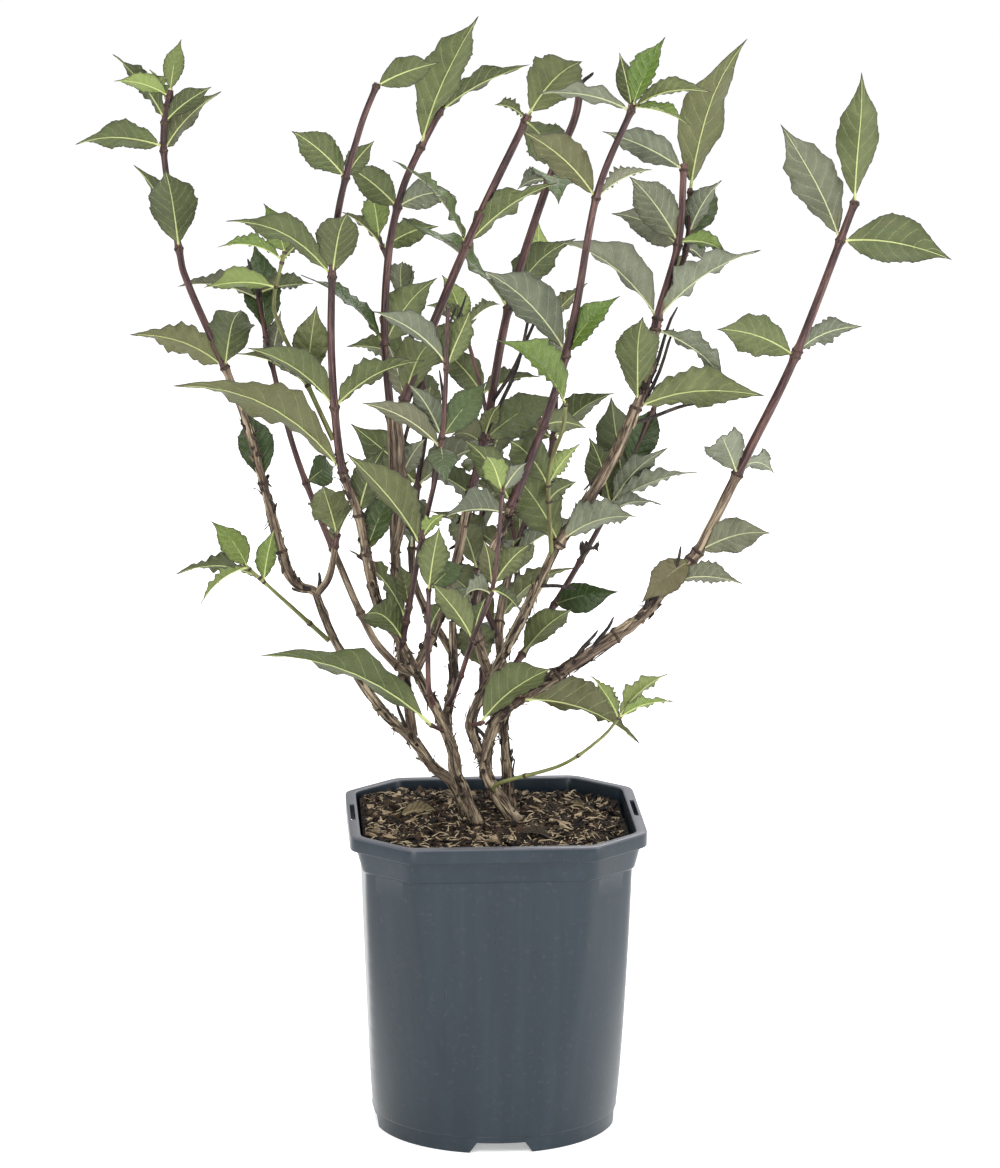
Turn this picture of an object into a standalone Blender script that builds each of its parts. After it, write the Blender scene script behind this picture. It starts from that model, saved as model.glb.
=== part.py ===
# A dwarf weigela in a square nursery container: pot, compost, woody stems, canes and leaves.
# Sizes of the plant are in millimetres, angles in degrees; +X is right, +Y is back, +Z is up.
import math
import random

import bmesh
import bpy
import numpy as np
from mathutils import Vector
from mathutils.bvhtree import BVHTree

MM = 0.001
GAP = 0.3                        # clearance between neighbouring pieces

# Container
POT_HEIGHT = 206.0
RIM_HALF = 95.0                  # half the width across the flats of the lip
RIM_DIAGONAL = 109.1             # centre to the cut corner of the lip
RIM_INNER_HALF = 88.0
RIM_INNER_DIAGONAL = 103.0
LIP_DEPTH = 9.5
COLLAR_HALF = 91.0
COLLAR_FOOT_HALF = 87.2
COLLAR_DEPTH = 14.0
BODY_TOP_HALF = 86.0
BODY_TOP_DIAGONAL = 100.4
BODY_FOOT_RADIUS = 80.6
BODY_FOOT_HEIGHT = 11.3
BODY_ROUND_GAIN = 23.0           # how far the round lower body opens on its way up
BODY_HEIGHTS = (45.0, 80.0, 110.0, 135.0, 158.0)
BODY_FOOT_DIAGONAL = 90.0
WALL = 2.2
INNER_HEIGHTS = (182.5, 158.0, 120.0, 80.0, 45.0)
INNER_COLLAR_FOOT = 180.0        # above it the wall's inside is straight
FLOOR_UNDERSIDE = 7.0
FLOOR_TOP = 9.5
FLOOR_ROUND = 2.5                # height of the slope between the floor and the wall
FLOOR_INSET = 1.0
FOOT_RING_RADIUS = 79.0
FOOT_PAD_RADIUS = 30.0
NOTCH_WIDTH_LOW = 41.0
NOTCH_WIDTH_HIGH = 31.0
SLOT_LENGTH = 40.0
SLOT_WIDTH = 3.0
SLOT_CENTRE_Y = 4.0
CORNER_SHARPNESS = 80            # exponent that rounds the corners of the outline
QUARTER_ANGLES = (0, 12, 24, 29.5, 32, 34.5, 41, 49, 55.5, 58, 60.5, 66, 78)

# Compost
COMPOST_CROWN = 200.0            # the flat crown that the stems stand on
COMPOST_EDGE = 196.5
COMPOST_CROWN_RADIUS = 48.0
COMPOST_WAVE = 1.2
COMPOST_SLOPE = 40.0             # width of the fall from the crown to the edge
COMPOST_CORNER_CUT = 2.2
COMPOST_RINGS = (1.0, 0.82, 0.66, 0.5)
COMPOST_CLEARANCE = GAP + 0.15

# Limbs
ROUTE_STEP = 2.0
ROUTE_TOLERANCE = 0.7            # how far a straight facet may leave the smooth route
LONGEST_FACET = 30.0
FLARE = 0.35                     # extra radius of a stem where it meets the compost
FLARE_HEIGHT = 15.0
TUBE_SIDES = ((9.0, 8), (4.4, 6), (3.4, 5), (0.0, 4))    # least width, and how many sides it gets

# Leaves: each face is the blade's turn about its own length and its width over its length
FACES = {
    "wide": (88, 0.45),          # underside to the front
    "half": (62, 0.38),
    "slim": (40, 0.33),
    "top_wide": (-84, 0.45),     # upper side to the front
    "top_half": (-40, 0.39),
    "top_slim": (-14, 0.35),
}
LEAF_STATIONS = (0.0, 0.07, 0.28, 0.66, 1.0)
LEAF_WIDTHS = (0.0, 0.0, 0.98, 0.88, 0.0)
PETIOLE_WIDTH = 1.7
LEAF_THICKNESS = 0.014           # of its length
LEAF_ARCH = (0.02, 0.06)         # bow toward the upper side
LEAF_DROOP = (0.05, 0.10)        # how far a level leaf's tip hangs
LEAF_FOLD = (8, 16)
CLEAR_LENGTH = 1.0
CLEAR_WIDTH = 1.2
CLEAR_THICKNESS = 1.0
LOWEST_LEAF = 214.0
FREE_FROM = 0.27                 # share of a leaf beyond which it may not touch its own mass
LEAF_TRIES = (
    (0, 0), (8, 0), (-8, 0), (0, 8), (0, -8), (16, 0), (-16, 0), (0, 16), (24, 8), (-24, 8), (0, -16),
)
TRY_SCALES = (1.0, 0.85)

# Canes of the back half, grown by rule in opposite pairs, each pair a quarter turn from the last
PAIR_STEP = (36, 46)
PAIR_RISE = (15, 48)
PAIR_LENGTH = (78, 40)
BACK_BOW = 0.10

STEMS = {
    "stem_far_left": dict(
        joint="ground", on=(), foot=9.6, tip=6.0,
        route=(
            (-19, 8, 200), (-20, 8, 209), (-27, 9, 224), (-39, 10, 234), (-53, 11, 253), (-74, 14, 274),
            (-102, 19, 317), (-114, 22, 348),
        ),
    ),
    "stem_left": dict(
        joint="ground", on=(), foot=10.8, tip=7.0,
        route=(
            (-12, -8, 200), (-24, -8, 233), (-31, -8, 261), (-60, -10, 321),
        ),
    ),
    "stem_middle": dict(
        joint="side", on=("stem_left",), foot=7.2, tip=6.0,
        route=(
            (-29, -8, 257), (-30, 6, 268), (-27, 13, 282), (-25, 16, 300), (-26, 16, 329),
        ),
    ),
    "stem_right": dict(
        joint="ground", on=(), foot=11.4, tip=8.5,
        route=(
            (14, -7, 200), (7, -6, 210), (-3, -6, 227), (-6, -6, 239), (-4, -9, 255), (1, -10, 269),
            (11, -8, 279),
        ),
    ),
    "stem_thick": dict(
        joint="side", on=("stem_right",), foot=8.4, tip=7.6,
        route=(
            (-5, -6, 237), (-12, -7, 253), (-15, -7, 266), (-10, -4, 281), (12, 1, 321), (40, 0, 380),
        ),
    ),
    "stem_twin": dict(
        joint="ground", on=(), foot=8.6, tip=6.6,
        route=(
            (12, 14, 200), (8, 12, 248), (7, 14, 262), (11, 20, 273),
        ),
    ),
}

CANES = {
    "left_tall": dict(
        joint="end", on=("stem_far_left",), foot=6.0, tip=3.8,
        nodes=(("bough_left_tall", 66), ("leaves_left_tall", 345),),
        route=(
            (-114, 22, 348), (-132, 25, 364), (-159, 32, 463), (-192, 38, 543), (-199, 40, 569),
            (-208, 44, 634), (-203, 46, 670),
        ),
        leaves=(
            (83, 105, 50, 52, "top_wide"), (161, -175, 20, 65, "half"),
            (161, -80, 45, 63, "wide"), (161, 115, 20, 40, "top_half"),
            (243, -100, 55, 68, "wide"), (243, 141, 55, 63, "slim"),
            (306, 28, 40, 55, "half"), (309, -170, 5, 56, "half"),
            (324, -20, 35, 40, "half"), (326, 165, 50, 53, "slim"),
            (335, 130, 50, 28, "slim"), (341, 199, 18, 38, "half"),
            (344, 45, 75, 34, "top_half"),
        ),
    ),
    "left_inner": dict(
        joint="side", on=("stem_far_left", "bough_left_tall"), foot=5.2, tip=3.6,
        nodes=(("leaves_left_inner", 47),),
        route=(
            (-113, 22, 347), (-105, 16, 360), (-100, 8, 389),
        ),
        leaves=(
            (38, 60, 35, 42, "slim"), (46, -106, 45, 55, "wide"),
        ),
    ),
    "left_shoot": dict(
        joint="side", on=("stem_far_left",), foot=3.2, tip=2.0,
        nodes=(("leaves_left_shoot", 83),),
        route=(
            (-106, 18, 317), (-159, -12, 373),
        ),
        leaves=(
            (65, 55, 70, 35, "half"), (69, 170, 0, 54, "slim"),
            (79, 150, 10, 28, "slim"), (81, -165, 55, 39, "top_wide"),
            (81, -140, -25, 43, "slim"),
        ),
    ),
    "left_grey": dict(
        joint="side", on=("stem_left",), foot=5.2, tip=3.0,
        nodes=(("bough_left_grey", 140), ("leaves_left_grey", 293),),
        route=(
            (-50, -9, 300), (-58, 0, 301), (-66, 8, 306), (-79, 22, 321), (-99, 40, 365), (-127, 54, 438),
            (-146, 64, 519), (-148, 66, 542),
        ),
        leaves=(
            (155, 65, 5, 44, "top_wide"), (236, 65, 60, 36, "half"),
            (253, 100, 62, 65, "top_half"), (278, -180, 10, 53, "slim"),
            (282, -9, 8, 36, "half"),
        ),
    ),
    "left_front": dict(
        joint="end", on=("stem_left",), foot=6.2, tip=3.8,
        nodes=(("bough_left_front", 54), ("leaves_left_front", 378),),
        route=(
            (-60, -10, 321), (-76, -10, 349), (-87, -14, 405), (-97, -16, 435), (-102, -24, 477),
            (-104, -34, 534), (-100, -44, 599), (-86, -54, 655), (-75, -58, 684),
        ),
        leaves=(
            (64, 35, 60, 49, "top_half"), (90, 35, 65, 48, "wide"),
            (120, -165, 30, 125, "slim"), (164, -165, 35, 70, "slim"),
            (164, -20, 30, 67, "slim"), (250, -170, 30, 76, "slim"),
            (250, -80, 50, 60, "wide"), (315, -155, 40, 48, "wide"),
            (315, 30, 45, 30, "wide"), (376, -10, 20, 42, "wide"),
        ),
    ),
    "left_thin": dict(
        joint="side", on=("leaves_left_front",), foot=3.4, tip=2.2,
        nodes=(("leaves_left_thin", 129),),
        route=(
            (-103, -20, 455), (-124, -6, 500), (-137, -2, 528), (-139, 0, 544), (-132, 0, 573),
        ),
        leaves=(
            (38, -155, 25, 56, "slim"), (40, -45, 80, 51, "wide"),
            (105, -165, 0, 47, "half"), (121, 45, 25, 31, "half"),
            (123, 170, 10, 42, "slim"), (128, -125, 60, 39, "top_wide"),
        ),
    ),
    "centre_left_foot": dict(
        joint="side", on=("stem_far_left",), foot=7.0, tip=6.0,
        nodes=(("bough_centre_left_foot", 132),),
        route=(
            (-52, 12, 254), (-56, 22, 288), (-59, 24, 309), (-63, 26, 384),
        ),
    ),
    "centre_left": dict(
        joint="end", on=("bough_centre_left_foot",), foot=6.0, tip=4.4,
        nodes=(("bough_centre_left", 110), ("leaves_centre_left", 280),),
        route=(
            (-63, 26, 384), (-64, 32, 452), (-68, 40, 511), (-65, 44, 564), (-58, 46, 598),
            (-49, 48, 622), (-30, 50, 658),
        ),
        leaves=(
            (123, -175, 40, 71, "top_slim"), (123, 35, 45, 58, "wide"),
            (212, 155, 35, 46, "wide"), (212, -30, 15, 43, "wide"),
            (253, -48, 57, 103, "slim"), (278, 10, 25, 66, "slim"),
        ),
    ),
    "centre_tall": dict(
        joint="side", on=("bough_centre_left_foot", "bough_centre_left"), foot=6.6, tip=4.8,
        nodes=(("bough_centre_tall", 44), ("leaves_centre_tall", 311),),
        route=(
            (-63, 26, 373), (-58, 14, 403), (-60, 4, 448), (-57, 0, 477), (-18, -16, 578),
            (20, -30, 661),
        ),
        leaves=(
            (56, 45, 45, 32, "wide"), (109, -68, 47, 60, "wide"),
            (109, 115, 55, 40, "half"), (218, -170, 50, 73, "top_slim"),
            (218, -15, 37, 70, "slim"), (306, -72, -24, 58, "wide"),
            (307, 120, 10, 36, "half"), (309, -60, 33, 72, "wide"),
        ),
    ),
    "centre_back": dict(
        joint="side", on=("stem_left",), foot=6.4, tip=5.0,
        nodes=(("bough_centre_back", 152), ("leaves_centre_back", 407),),
        route=(
            (-50, -9, 304), (-41, 10, 318), (-33, 24, 334), (-22, 42, 363), (-14, 56, 396),
            (-2, 66, 441), (14, 78, 523), (41, 90, 605), (58, 96, 644), (62, 98, 667),
        ),
        leaves=(
            (166, 12, 30, 57, "top_wide"), (166, -65, 55, 33, "half"),
            (253, -165, 40, 94, "top_slim"), (253, 31, 40, 68, "half"),
            (340, -88, -6, 66, "wide"), (340, 120, -15, 37, "half"),
        ),
    ),
    "centre_front": dict(
        joint="side", on=("stem_thick",), foot=6.8, tip=4.0,
        nodes=(("bough_centre_front", 112), ("leaves_centre_front", 407),),
        route=(
            (-3, 2, 296), (-10, -10, 319), (-13, -18, 340), (-10, -24, 364), (9, -36, 414),
            (35, -54, 489), (47, -66, 543), (59, -82, 618), (80, -96, 674),
        ),
        leaves=(
            (124, -140, 5, 56, "half"), (130, -155, 55, 57, "half"),
            (188, 35, -10, 35, "wide"), (237, -7, 50, 51, "top_half"),
            (239, -165, 45, 78, "half"), (342, -160, 40, 67, "half"),
            (342, 15, 25, 40, "slim"), (402, -175, 10, 59, "slim"),
            (404, 130, 70, 35, "half"), (404, -10, 10, 50, "slim"),
            (405, -14, 63, 47, "top_half"), (405, -25, -15, 38, "top_slim"),
        ),
    ),
    "thick": dict(
        joint="end", on=("stem_thick",), foot=7.6, tip=4.2,
        nodes=(("leaves_thick_low", 16), ("bough_thick", 92), ("leaves_thick_top", 263),),
        route=(
            (40, 0, 380), (72, 6, 428), (98, 13, 484), (106, 18, 525), (120, 28, 573), (124, 36, 622),
        ),
        leaves=(
            (3, -140, 50, 70, "wide"), (3, -35, 20, 64, "half"),
            (103, -15, 5, 84, "half"), (106, -95, 60, 71, "half"),
            (155, -15, -35, 58, "slim"), (162, -170, 40, 84, "slim"),
            (162, -5, 35, 79, "slim"),
            (211, 145, 20, 52, "wide"), (213, -152, 50, 58, "wide"),
            (213, -22, -10, 34, "half"), (259, -170, 25, 60, "half"),
        ),
    ),
    "thick_side": dict(
        joint="side", on=("leaves_thick_top",), foot=4.2, tip=3.0,
        nodes=(("leaves_thick_side", 79),),
        route=(
            (110, 20, 537), (119, 30, 547), (127, 40, 572), (129, 46, 605),
        ),
        leaves=(
            (15, 66, 30, 31, "half"), (39, 60, -25, 33, "half"),
            (45, 56, 45, 49, "top_wide"), (48, -25, 60, 43, "half"),
            (76, -28, 72, 106, "slim"),
        ),
    ),
    "right_back": dict(
        joint="side", on=("stem_thick",), foot=4.8, tip=2.6,
        nodes=(("bough_right_back", 30), ("leaves_right_back", 235),),
        route=(
            (-4, 2, 293), (5, 12, 288), (42, 44, 333), (81, 76, 392), (112, 94, 456),
        ),
        leaves=(
            (43, -45, 40, 57, "half"), (84, -25, 15, 46, "top_wide"),
            (119, -70, 20, 34, "slim"), (155, -45, 15, 49, "slim"),
            (162, -140, 70, 51, "wide"), (162, -35, 45, 60, "slim"),
            (162, -15, 22, 63, "slim"), (180, -150, 80, 58, "wide"),
            (189, 35, 55, 48, "top_wide"), (232, 35, 45, 27, "wide"),
        ),
    ),
    "bright_shoot": dict(
        joint="side", on=("stem_thick", "leaves_thick_low"), foot=3.2, tip=2.4,
        nodes=(("leaves_bright_shoot", 130),),
        route=(
            (37, 0, 374), (33, -30, 432), (40, -56, 467), (41, -66, 485),
        ),
        leaves=(
            (45, 52, 10, 33, "wide"), (58, 15, 50, 33, "half"),
            (58, -132, 40, 53, "wide"), (129, -165, 45, 63, "top_half"),
        ),
    ),
    "right_foot": dict(
        joint="end", on=("stem_right",), foot=8.4, tip=7.0,
        nodes=(("bough_right_foot", 127),),
        route=(
            (11, -8, 279), (89, 10, 326), (112, 14, 350),
        ),
    ),
    "right_tall": dict(
        joint="end", on=("bough_right_foot",), foot=7.0, tip=4.8,
        nodes=(("leaves_right_low", 112), ("leaves_right_top", 281),),
        route=(
            (112, 14, 350), (132, 18, 371), (142, 20, 389), (167, 26, 438), (196, 28, 498),
            (232, 16, 600),
        ),
        leaves=(
            (5, -20, 0, 48, "half"),
            (24, -145, -30, 47, "top_wide"), (31, -26, 20, 52, "wide"),
            (87, -110, 35, 58, "wide"), (90, 55, -10, 50, "half"),
            (172, -160, 20, 60, "wide"), (176, 20, 15, 48, "half"),
            (253, -170, 60, 86, "half"), (253, -10, -10, 72, "wide"),
            (279, -60, 82, 85, "slim"),
        ),
    ),
    "middle_front": dict(
        joint="side", on=("stem_left", "bough_left_front"), foot=4.0, tip=2.6,
        nodes=(("leaves_middle_front", 245),),
        route=(
            (-60, -10, 317), (-48, -40, 394), (-36, -64, 463), (-33, -82, 548),
        ),
        leaves=(
            (7, -120, 30, 54, "wide"),
            (21, 150, 45, 59, "slim"), (32, 115, 66, 29, "top_wide"),
            (77, 100, 45, 42, "top_half"), (80, -165, 50, 79, "slim"),
            (84, -63, 37, 35, "slim"), (151, -165, 30, 61, "slim"),
            (151, -90, -20, 46, "top_half"), (158, -160, 60, 42, "half"),
            (158, 20, 45, 45, "top_wide"), (204, -15, 65, 41, "wide"),
            (208, -165, 35, 59, "slim"),
        ),
    ),
    "middle_short": dict(
        joint="side", on=("stem_left",), foot=3.8, tip=2.8,
        nodes=(("leaves_middle_short", 98),),
        route=(
            (-38, -8, 275), (-43, -18, 295), (-44, -48, 364),
        ),
        leaves=(
            (61, 55, 40, 31, "half"), (97, -55, 75, 44, "wide"),
            (97, 45, 20, 35, "top_wide"),
        ),
    ),
    "middle_right": dict(
        joint="side", on=("stem_middle",), foot=3.6, tip=2.4,
        nodes=(("bough_middle_right", 68), ("leaves_middle_right", 206),),
        route=(
            (-29, 9, 275), (-24, -6, 291), (-16, -50, 332), (-5, -84, 375), (-1, -108, 439),
        ),
        leaves=(
            (82, -150, 50, 51, "half"), (84, 65, 45, 31, "half"),
            (130, -120, 5, 41, "half"), (133, -60, -15, 35, "half"),
            (135, 110, 70, 31, "wide"), (138, -20, 50, 36, "wide"),
            (205, -115, 50, 36, "wide"), (205, -26, 53, 26, "wide"),
        ),
    ),
    "low_shoot": dict(
        joint="side", on=("stem_right",), foot=2.8, tip=1.8,
        nodes=(("leaves_low_shoot", 132),),
        route=(
            (2, -6, 217), (2, -14, 228), (40, -44, 247), (63, -66, 269), (75, -80, 287),
        ),
        leaves=(
            (130, -30, 20, 42, "slim"), (130, -20, 45, 44, "slim"),
            (130, 160, 55, 32, "slim"),
        ),
    ),
    "low_left": dict(
        joint="side", on=("stem_left",), foot=3.0, tip=2.4,
        nodes=(("leaves_low_left", 18),),
        route=(
            (-31, -8, 261), (-42, -20, 269),
        ),
        leaves=(
            (17, -165, 25, 128, "slim"),
        ),
    ),
    "low_right": dict(
        joint="side", on=("stem_thick",), foot=3.0, tip=2.4,
        nodes=(("leaves_low_right", 18),),
        route=(
            (-16, -4, 264), (-8, -24, 271),
        ),
        leaves=(
            (17, -41, 35, 75, "half"),
        ),
    ),
    "low_far_right": dict(
        joint="side", on=("stem_right", "bough_right_foot"), foot=3.0, tip=2.4,
        nodes=(("leaves_low_far_right", 18),),
        route=(
            (10, -8, 280), (14, -18, 285), (19, -22, 285),
        ),
        leaves=(
            (17, -25, -15, 82, "half"),
        ),
    ),
}
BACK_CANES = {
    "back_right": dict(
        joint="end", on=("stem_twin",), start=82, heading=78, reach=165, height=530, foot=6.6,
        bough=96, seed=3,
    ),
    "back_left": dict(
        joint="side", on=("stem_middle",), start=58, heading=104, reach=150, height=560, foot=5.4,
        bough=70, seed=8,
    ),
    "back_middle": dict(
        joint="side", on=("bough_back_right",), start=50, heading=98, reach=100, height=500, foot=4.6,
        bough=40, seed=14,
    ),
    "back_low": dict(
        joint="side", on=("stem_twin",), start=52, heading=88, reach=160, height=400, foot=4.2,
        bough=52, seed=21,
    ),
}
BACK_TIP = 2.4


def clear_scene():
    for item in list(bpy.data.objects):
        bpy.data.objects.remove(item, do_unlink=True)
    for mesh in list(bpy.data.meshes):
        bpy.data.meshes.remove(mesh)


def make_material(name, colour, roughness):
    material = bpy.data.materials.new(name)
    material.use_nodes = True
    shader = material.node_tree.nodes["Principled BSDF"]
    shader.inputs["Base Color"].default_value = (*colour, 1.0)
    shader.inputs["Roughness"].default_value = roughness
    return material


def make_object(name, vertices, faces, material=None):
    mesh = bpy.data.meshes.new(name)
    mesh.from_pydata([tuple(v) for v in vertices], [], [tuple(f) for f in faces])
    mesh.update()
    item = bpy.data.objects.new(name, mesh)
    bpy.context.collection.objects.link(item)
    if material is not None:
        mesh.materials.append(material)
    return item


def apply_boolean(item, operation, operand, solver="EXACT"):
    """Applies one Boolean with an object or a collection as its operand."""
    modifier = item.modifiers.new("join", "BOOLEAN")
    modifier.operation = operation
    modifier.solver = solver
    if isinstance(operand, bpy.types.Collection):
        modifier.operand_type = "COLLECTION"
        modifier.collection = operand
    else:
        modifier.object = operand
    graph = bpy.context.evaluated_depsgraph_get()
    graph.update()
    result = bpy.data.meshes.new_from_object(item.evaluated_get(graph))
    item.modifiers.remove(modifier)
    old = item.data
    item.data = result
    bpy.data.meshes.remove(old)


def remove_object(item):
    mesh = item.data
    bpy.data.objects.remove(item, do_unlink=True)
    bpy.data.meshes.remove(mesh)


def keep_largest_piece(item):
    """Welds the mesh and drops loose scraps, so that one closed body stays."""
    work = bmesh.new()
    work.from_mesh(item.data)
    bmesh.ops.remove_doubles(work, verts=work.verts, dist=2e-6)
    bmesh.ops.triangulate(work, faces=work.faces)
    bmesh.ops.dissolve_degenerate(work, edges=work.edges, dist=1e-6)
    pieces = sorted(face_pieces(work), key=len)
    for piece in pieces[:-1]:
        bmesh.ops.delete(work, geom=piece, context="FACES")
    bmesh.ops.recalc_face_normals(work, faces=work.faces)
    work.to_mesh(item.data)
    work.free()


def face_pieces(work):
    """Groups the faces that hang together across edges shared by exactly two faces."""
    unseen = set(work.faces)
    pieces = []
    while unseen:
        stack = [unseen.pop()]
        piece = []
        while stack:
            face = stack.pop()
            piece.append(face)
            for edge in face.edges:
                if len(edge.link_faces) != 2:
                    continue
                for other in edge.link_faces:
                    if other in unseen:
                        unseen.discard(other)
                        stack.append(other)
        pieces.append(piece)
    return pieces


# Container

def outline_radius(angle, flat, diagonal, circle):
    """Distance from the axis to a square with cut corners, held within a circle."""
    total = (1.0 / circle) ** CORNER_SHARPNESS
    for index in range(8):
        facing = math.cos(angle - index * math.pi / 4)
        if facing > 0:
            distance = diagonal if index % 2 else flat
            total += (facing / distance) ** CORNER_SHARPNESS
    return total ** (-1.0 / CORNER_SHARPNESS)


def ring_angles():
    return [math.radians(quarter * 90 + angle) for quarter in range(4) for angle in QUARTER_ANGLES]


def outline_ring(height, flat, diagonal, circle=1000.0):
    points = []
    for angle in ring_angles():
        radius = outline_radius(angle, flat, diagonal, circle)
        points.append((radius * math.cos(angle) * MM, radius * math.sin(angle) * MM, height * MM))
    return points


def round_ring(height, radius):
    return [(radius * math.cos(a) * MM, radius * math.sin(a) * MM, height * MM) for a in ring_angles()]


def body_ring(height, inset=0.0):
    """The body is round at the foot and turns into a square with cut corners at the top."""
    top = POT_HEIGHT - LIP_DEPTH - COLLAR_DEPTH - 1.0
    share = (height - BODY_FOOT_HEIGHT) / (top - BODY_FOOT_HEIGHT)
    share = min(max(share, 0.0), 1.0)
    circle = BODY_FOOT_RADIUS + BODY_ROUND_GAIN * (1 - (1 - share) ** 1.2)
    flat = BODY_FOOT_RADIUS + (BODY_TOP_HALF - BODY_FOOT_RADIUS) * share
    diagonal = BODY_FOOT_DIAGONAL + (BODY_TOP_DIAGONAL - BODY_FOOT_DIAGONAL) * share
    return outline_ring(height, flat - inset, diagonal - inset, circle - inset)


def close_rings(rings, first_pole, last_pole):
    """Faces between neighbouring rings, with a fan to a pole at each end."""
    count = len(rings[0])
    vertices = [point for ring in rings for point in ring]
    first = len(vertices)
    vertices += [first_pole, last_pole]
    faces = []
    for index in range(count):
        following = (index + 1) % count
        faces.append((first, following, index))
        for row in range(len(rings) - 1):
            low = row * count
            high = low + count
            faces.append((low + index, low + following, high + following, high + index))
        last = (len(rings) - 1) * count
        faces.append((first + 1, last + index, last + following))
    return vertices, faces


def make_pot(material):
    lip_foot = POT_HEIGHT - LIP_DEPTH
    collar_foot = lip_foot - COLLAR_DEPTH
    body_top = collar_foot - 1.0
    skirt_inner = FOOT_RING_RADIUS - WALL
    rings = [
        round_ring(0, FOOT_PAD_RADIUS),
        round_ring(FLOOR_UNDERSIDE, FOOT_PAD_RADIUS + 0.6),
        round_ring(FLOOR_UNDERSIDE, skirt_inner),
        round_ring(0, skirt_inner),
        round_ring(0, FOOT_RING_RADIUS),
        round_ring(BODY_FOOT_HEIGHT - 1.3, FOOT_RING_RADIUS),
    ]
    rings += [body_ring(height) for height in (BODY_FOOT_HEIGHT, *BODY_HEIGHTS, body_top)]
    rings += [
        outline_ring(collar_foot, COLLAR_FOOT_HALF, BODY_TOP_DIAGONAL + 2.4),
        outline_ring(lip_foot, COLLAR_HALF, RIM_DIAGONAL - 4.0),
        outline_ring(lip_foot, RIM_HALF, RIM_DIAGONAL),
        outline_ring(POT_HEIGHT, RIM_HALF, RIM_DIAGONAL),
        outline_ring(POT_HEIGHT, RIM_INNER_HALF, RIM_INNER_DIAGONAL),
    ]
    rings += [wall_ring(height) for height in (lip_foot, *INNER_HEIGHTS, FLOOR_TOP + FLOOR_ROUND, FLOOR_TOP)]
    vertices, faces = close_rings(rings, (0, 0, 0), (0, 0, FLOOR_TOP * MM))
    pot = make_object("pot", vertices, faces, material)
    for quarter in range(4):
        cutter = notch_cutter(quarter * math.pi / 2)
        apply_boolean(pot, "DIFFERENCE", cutter)
        remove_object(cutter)
    for side in (-1, 1):
        cutter = slot_cutter(side)
        apply_boolean(pot, "DIFFERENCE", cutter)
        remove_object(cutter)
    keep_largest_piece(pot)
    return pot


def wall_ring(height, inset=0.0):
    """The inner wall: the collar's inside above, the body less its wall below."""
    if height > POT_HEIGHT - LIP_DEPTH - 1:
        return outline_ring(height, RIM_INNER_HALF - 0.4 - inset, RIM_INNER_DIAGONAL - 0.6 - inset)
    if height > INNER_COLLAR_FOOT:
        return outline_ring(height, BODY_TOP_HALF - inset, BODY_TOP_DIAGONAL - inset)
    if height <= FLOOR_TOP + 0.5:
        return round_ring(height, BODY_FOOT_RADIUS - WALL - FLOOR_INSET - inset)
    return body_ring(height, WALL + inset)


def notch_cutter(turn):
    """A prism through the foot ring, wider at the ground, pointing out along the given turn."""
    near = FOOT_RING_RADIUS - WALL - 4
    far = FOOT_RING_RADIUS + 6
    low = NOTCH_WIDTH_LOW / 2
    high = NOTCH_WIDTH_HIGH / 2
    outline = ((-low - 0.6, -1.0), (low + 0.6, -1.0), (high, FLOOR_UNDERSIDE), (-high, FLOOR_UNDERSIDE))
    points = []
    for distance in (near, far):
        for across, height in outline:
            x = distance * math.cos(turn) - across * math.sin(turn)
            y = distance * math.sin(turn) + across * math.cos(turn)
            points.append((x * MM, y * MM, height * MM))
    faces = ((0, 3, 2, 1), (4, 5, 6, 7), (0, 1, 5, 4), (1, 2, 6, 5), (2, 3, 7, 6), (3, 0, 4, 7))
    return make_object("cutter", points, faces)


def slot_cutter(side):
    """A long narrow slot through the lip, on the left or the right."""
    middle = side * (RIM_HALF + RIM_INNER_HALF) / 2
    x0 = middle - SLOT_WIDTH / 2
    x1 = middle + SLOT_WIDTH / 2
    y0 = SLOT_CENTRE_Y - SLOT_LENGTH / 2
    y1 = SLOT_CENTRE_Y + SLOT_LENGTH / 2
    return make_box(x0, x1, y0, y1, POT_HEIGHT - LIP_DEPTH - 4, POT_HEIGHT + 4)


def make_box(x0, x1, y0, y1, z0, z1):
    points = [(x * MM, y * MM, z * MM) for x in (x0, x1) for y in (y0, y1) for z in (z0, z1)]
    faces = ((0, 1, 3, 2), (4, 6, 7, 5), (0, 4, 5, 1), (2, 3, 7, 6), (0, 2, 6, 4), (1, 5, 7, 3))
    return make_object("cutter", points, faces)


# Compost

def compost_height(x, y):
    """A flat crown under the stems that falls to a slightly uneven edge."""
    radius = math.hypot(x, y)
    share = min(max((radius - COMPOST_CROWN_RADIUS) / COMPOST_SLOPE, 0.0), 1.0)
    wave = COMPOST_WAVE * math.sin(x / 9.0 + 1.3) * math.sin(y / 11.0 - 0.4)
    return COMPOST_CROWN + (COMPOST_EDGE - COMPOST_CROWN + wave) * share


def make_compost(material):
    inset = COMPOST_CLEARANCE
    rings = [round_ring(FLOOR_TOP + GAP, BODY_FOOT_RADIUS - WALL - FLOOR_INSET - inset)]
    rings += [wall_ring(height, inset) for height in (FLOOR_TOP + FLOOR_ROUND, *reversed(INNER_HEIGHTS))]
    edge = outline_ring(0, BODY_TOP_HALF - inset, RIM_INNER_DIAGONAL - COMPOST_CORNER_CUT - inset)
    for share in COMPOST_RINGS:
        ring = []
        for x, y, _ in edge:
            height = compost_height(x * share / MM, y * share / MM)
            ring.append((x * share, y * share, height * MM))
        rings.append(ring)
    poles = ((0, 0, (FLOOR_TOP + GAP) * MM), (0, 0, COMPOST_CROWN * MM))
    vertices, faces = close_rings(rings, *poles)
    compost = make_object("compost", vertices, faces, material)
    keep_largest_piece(compost)
    return compost


# Limbs

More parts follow.
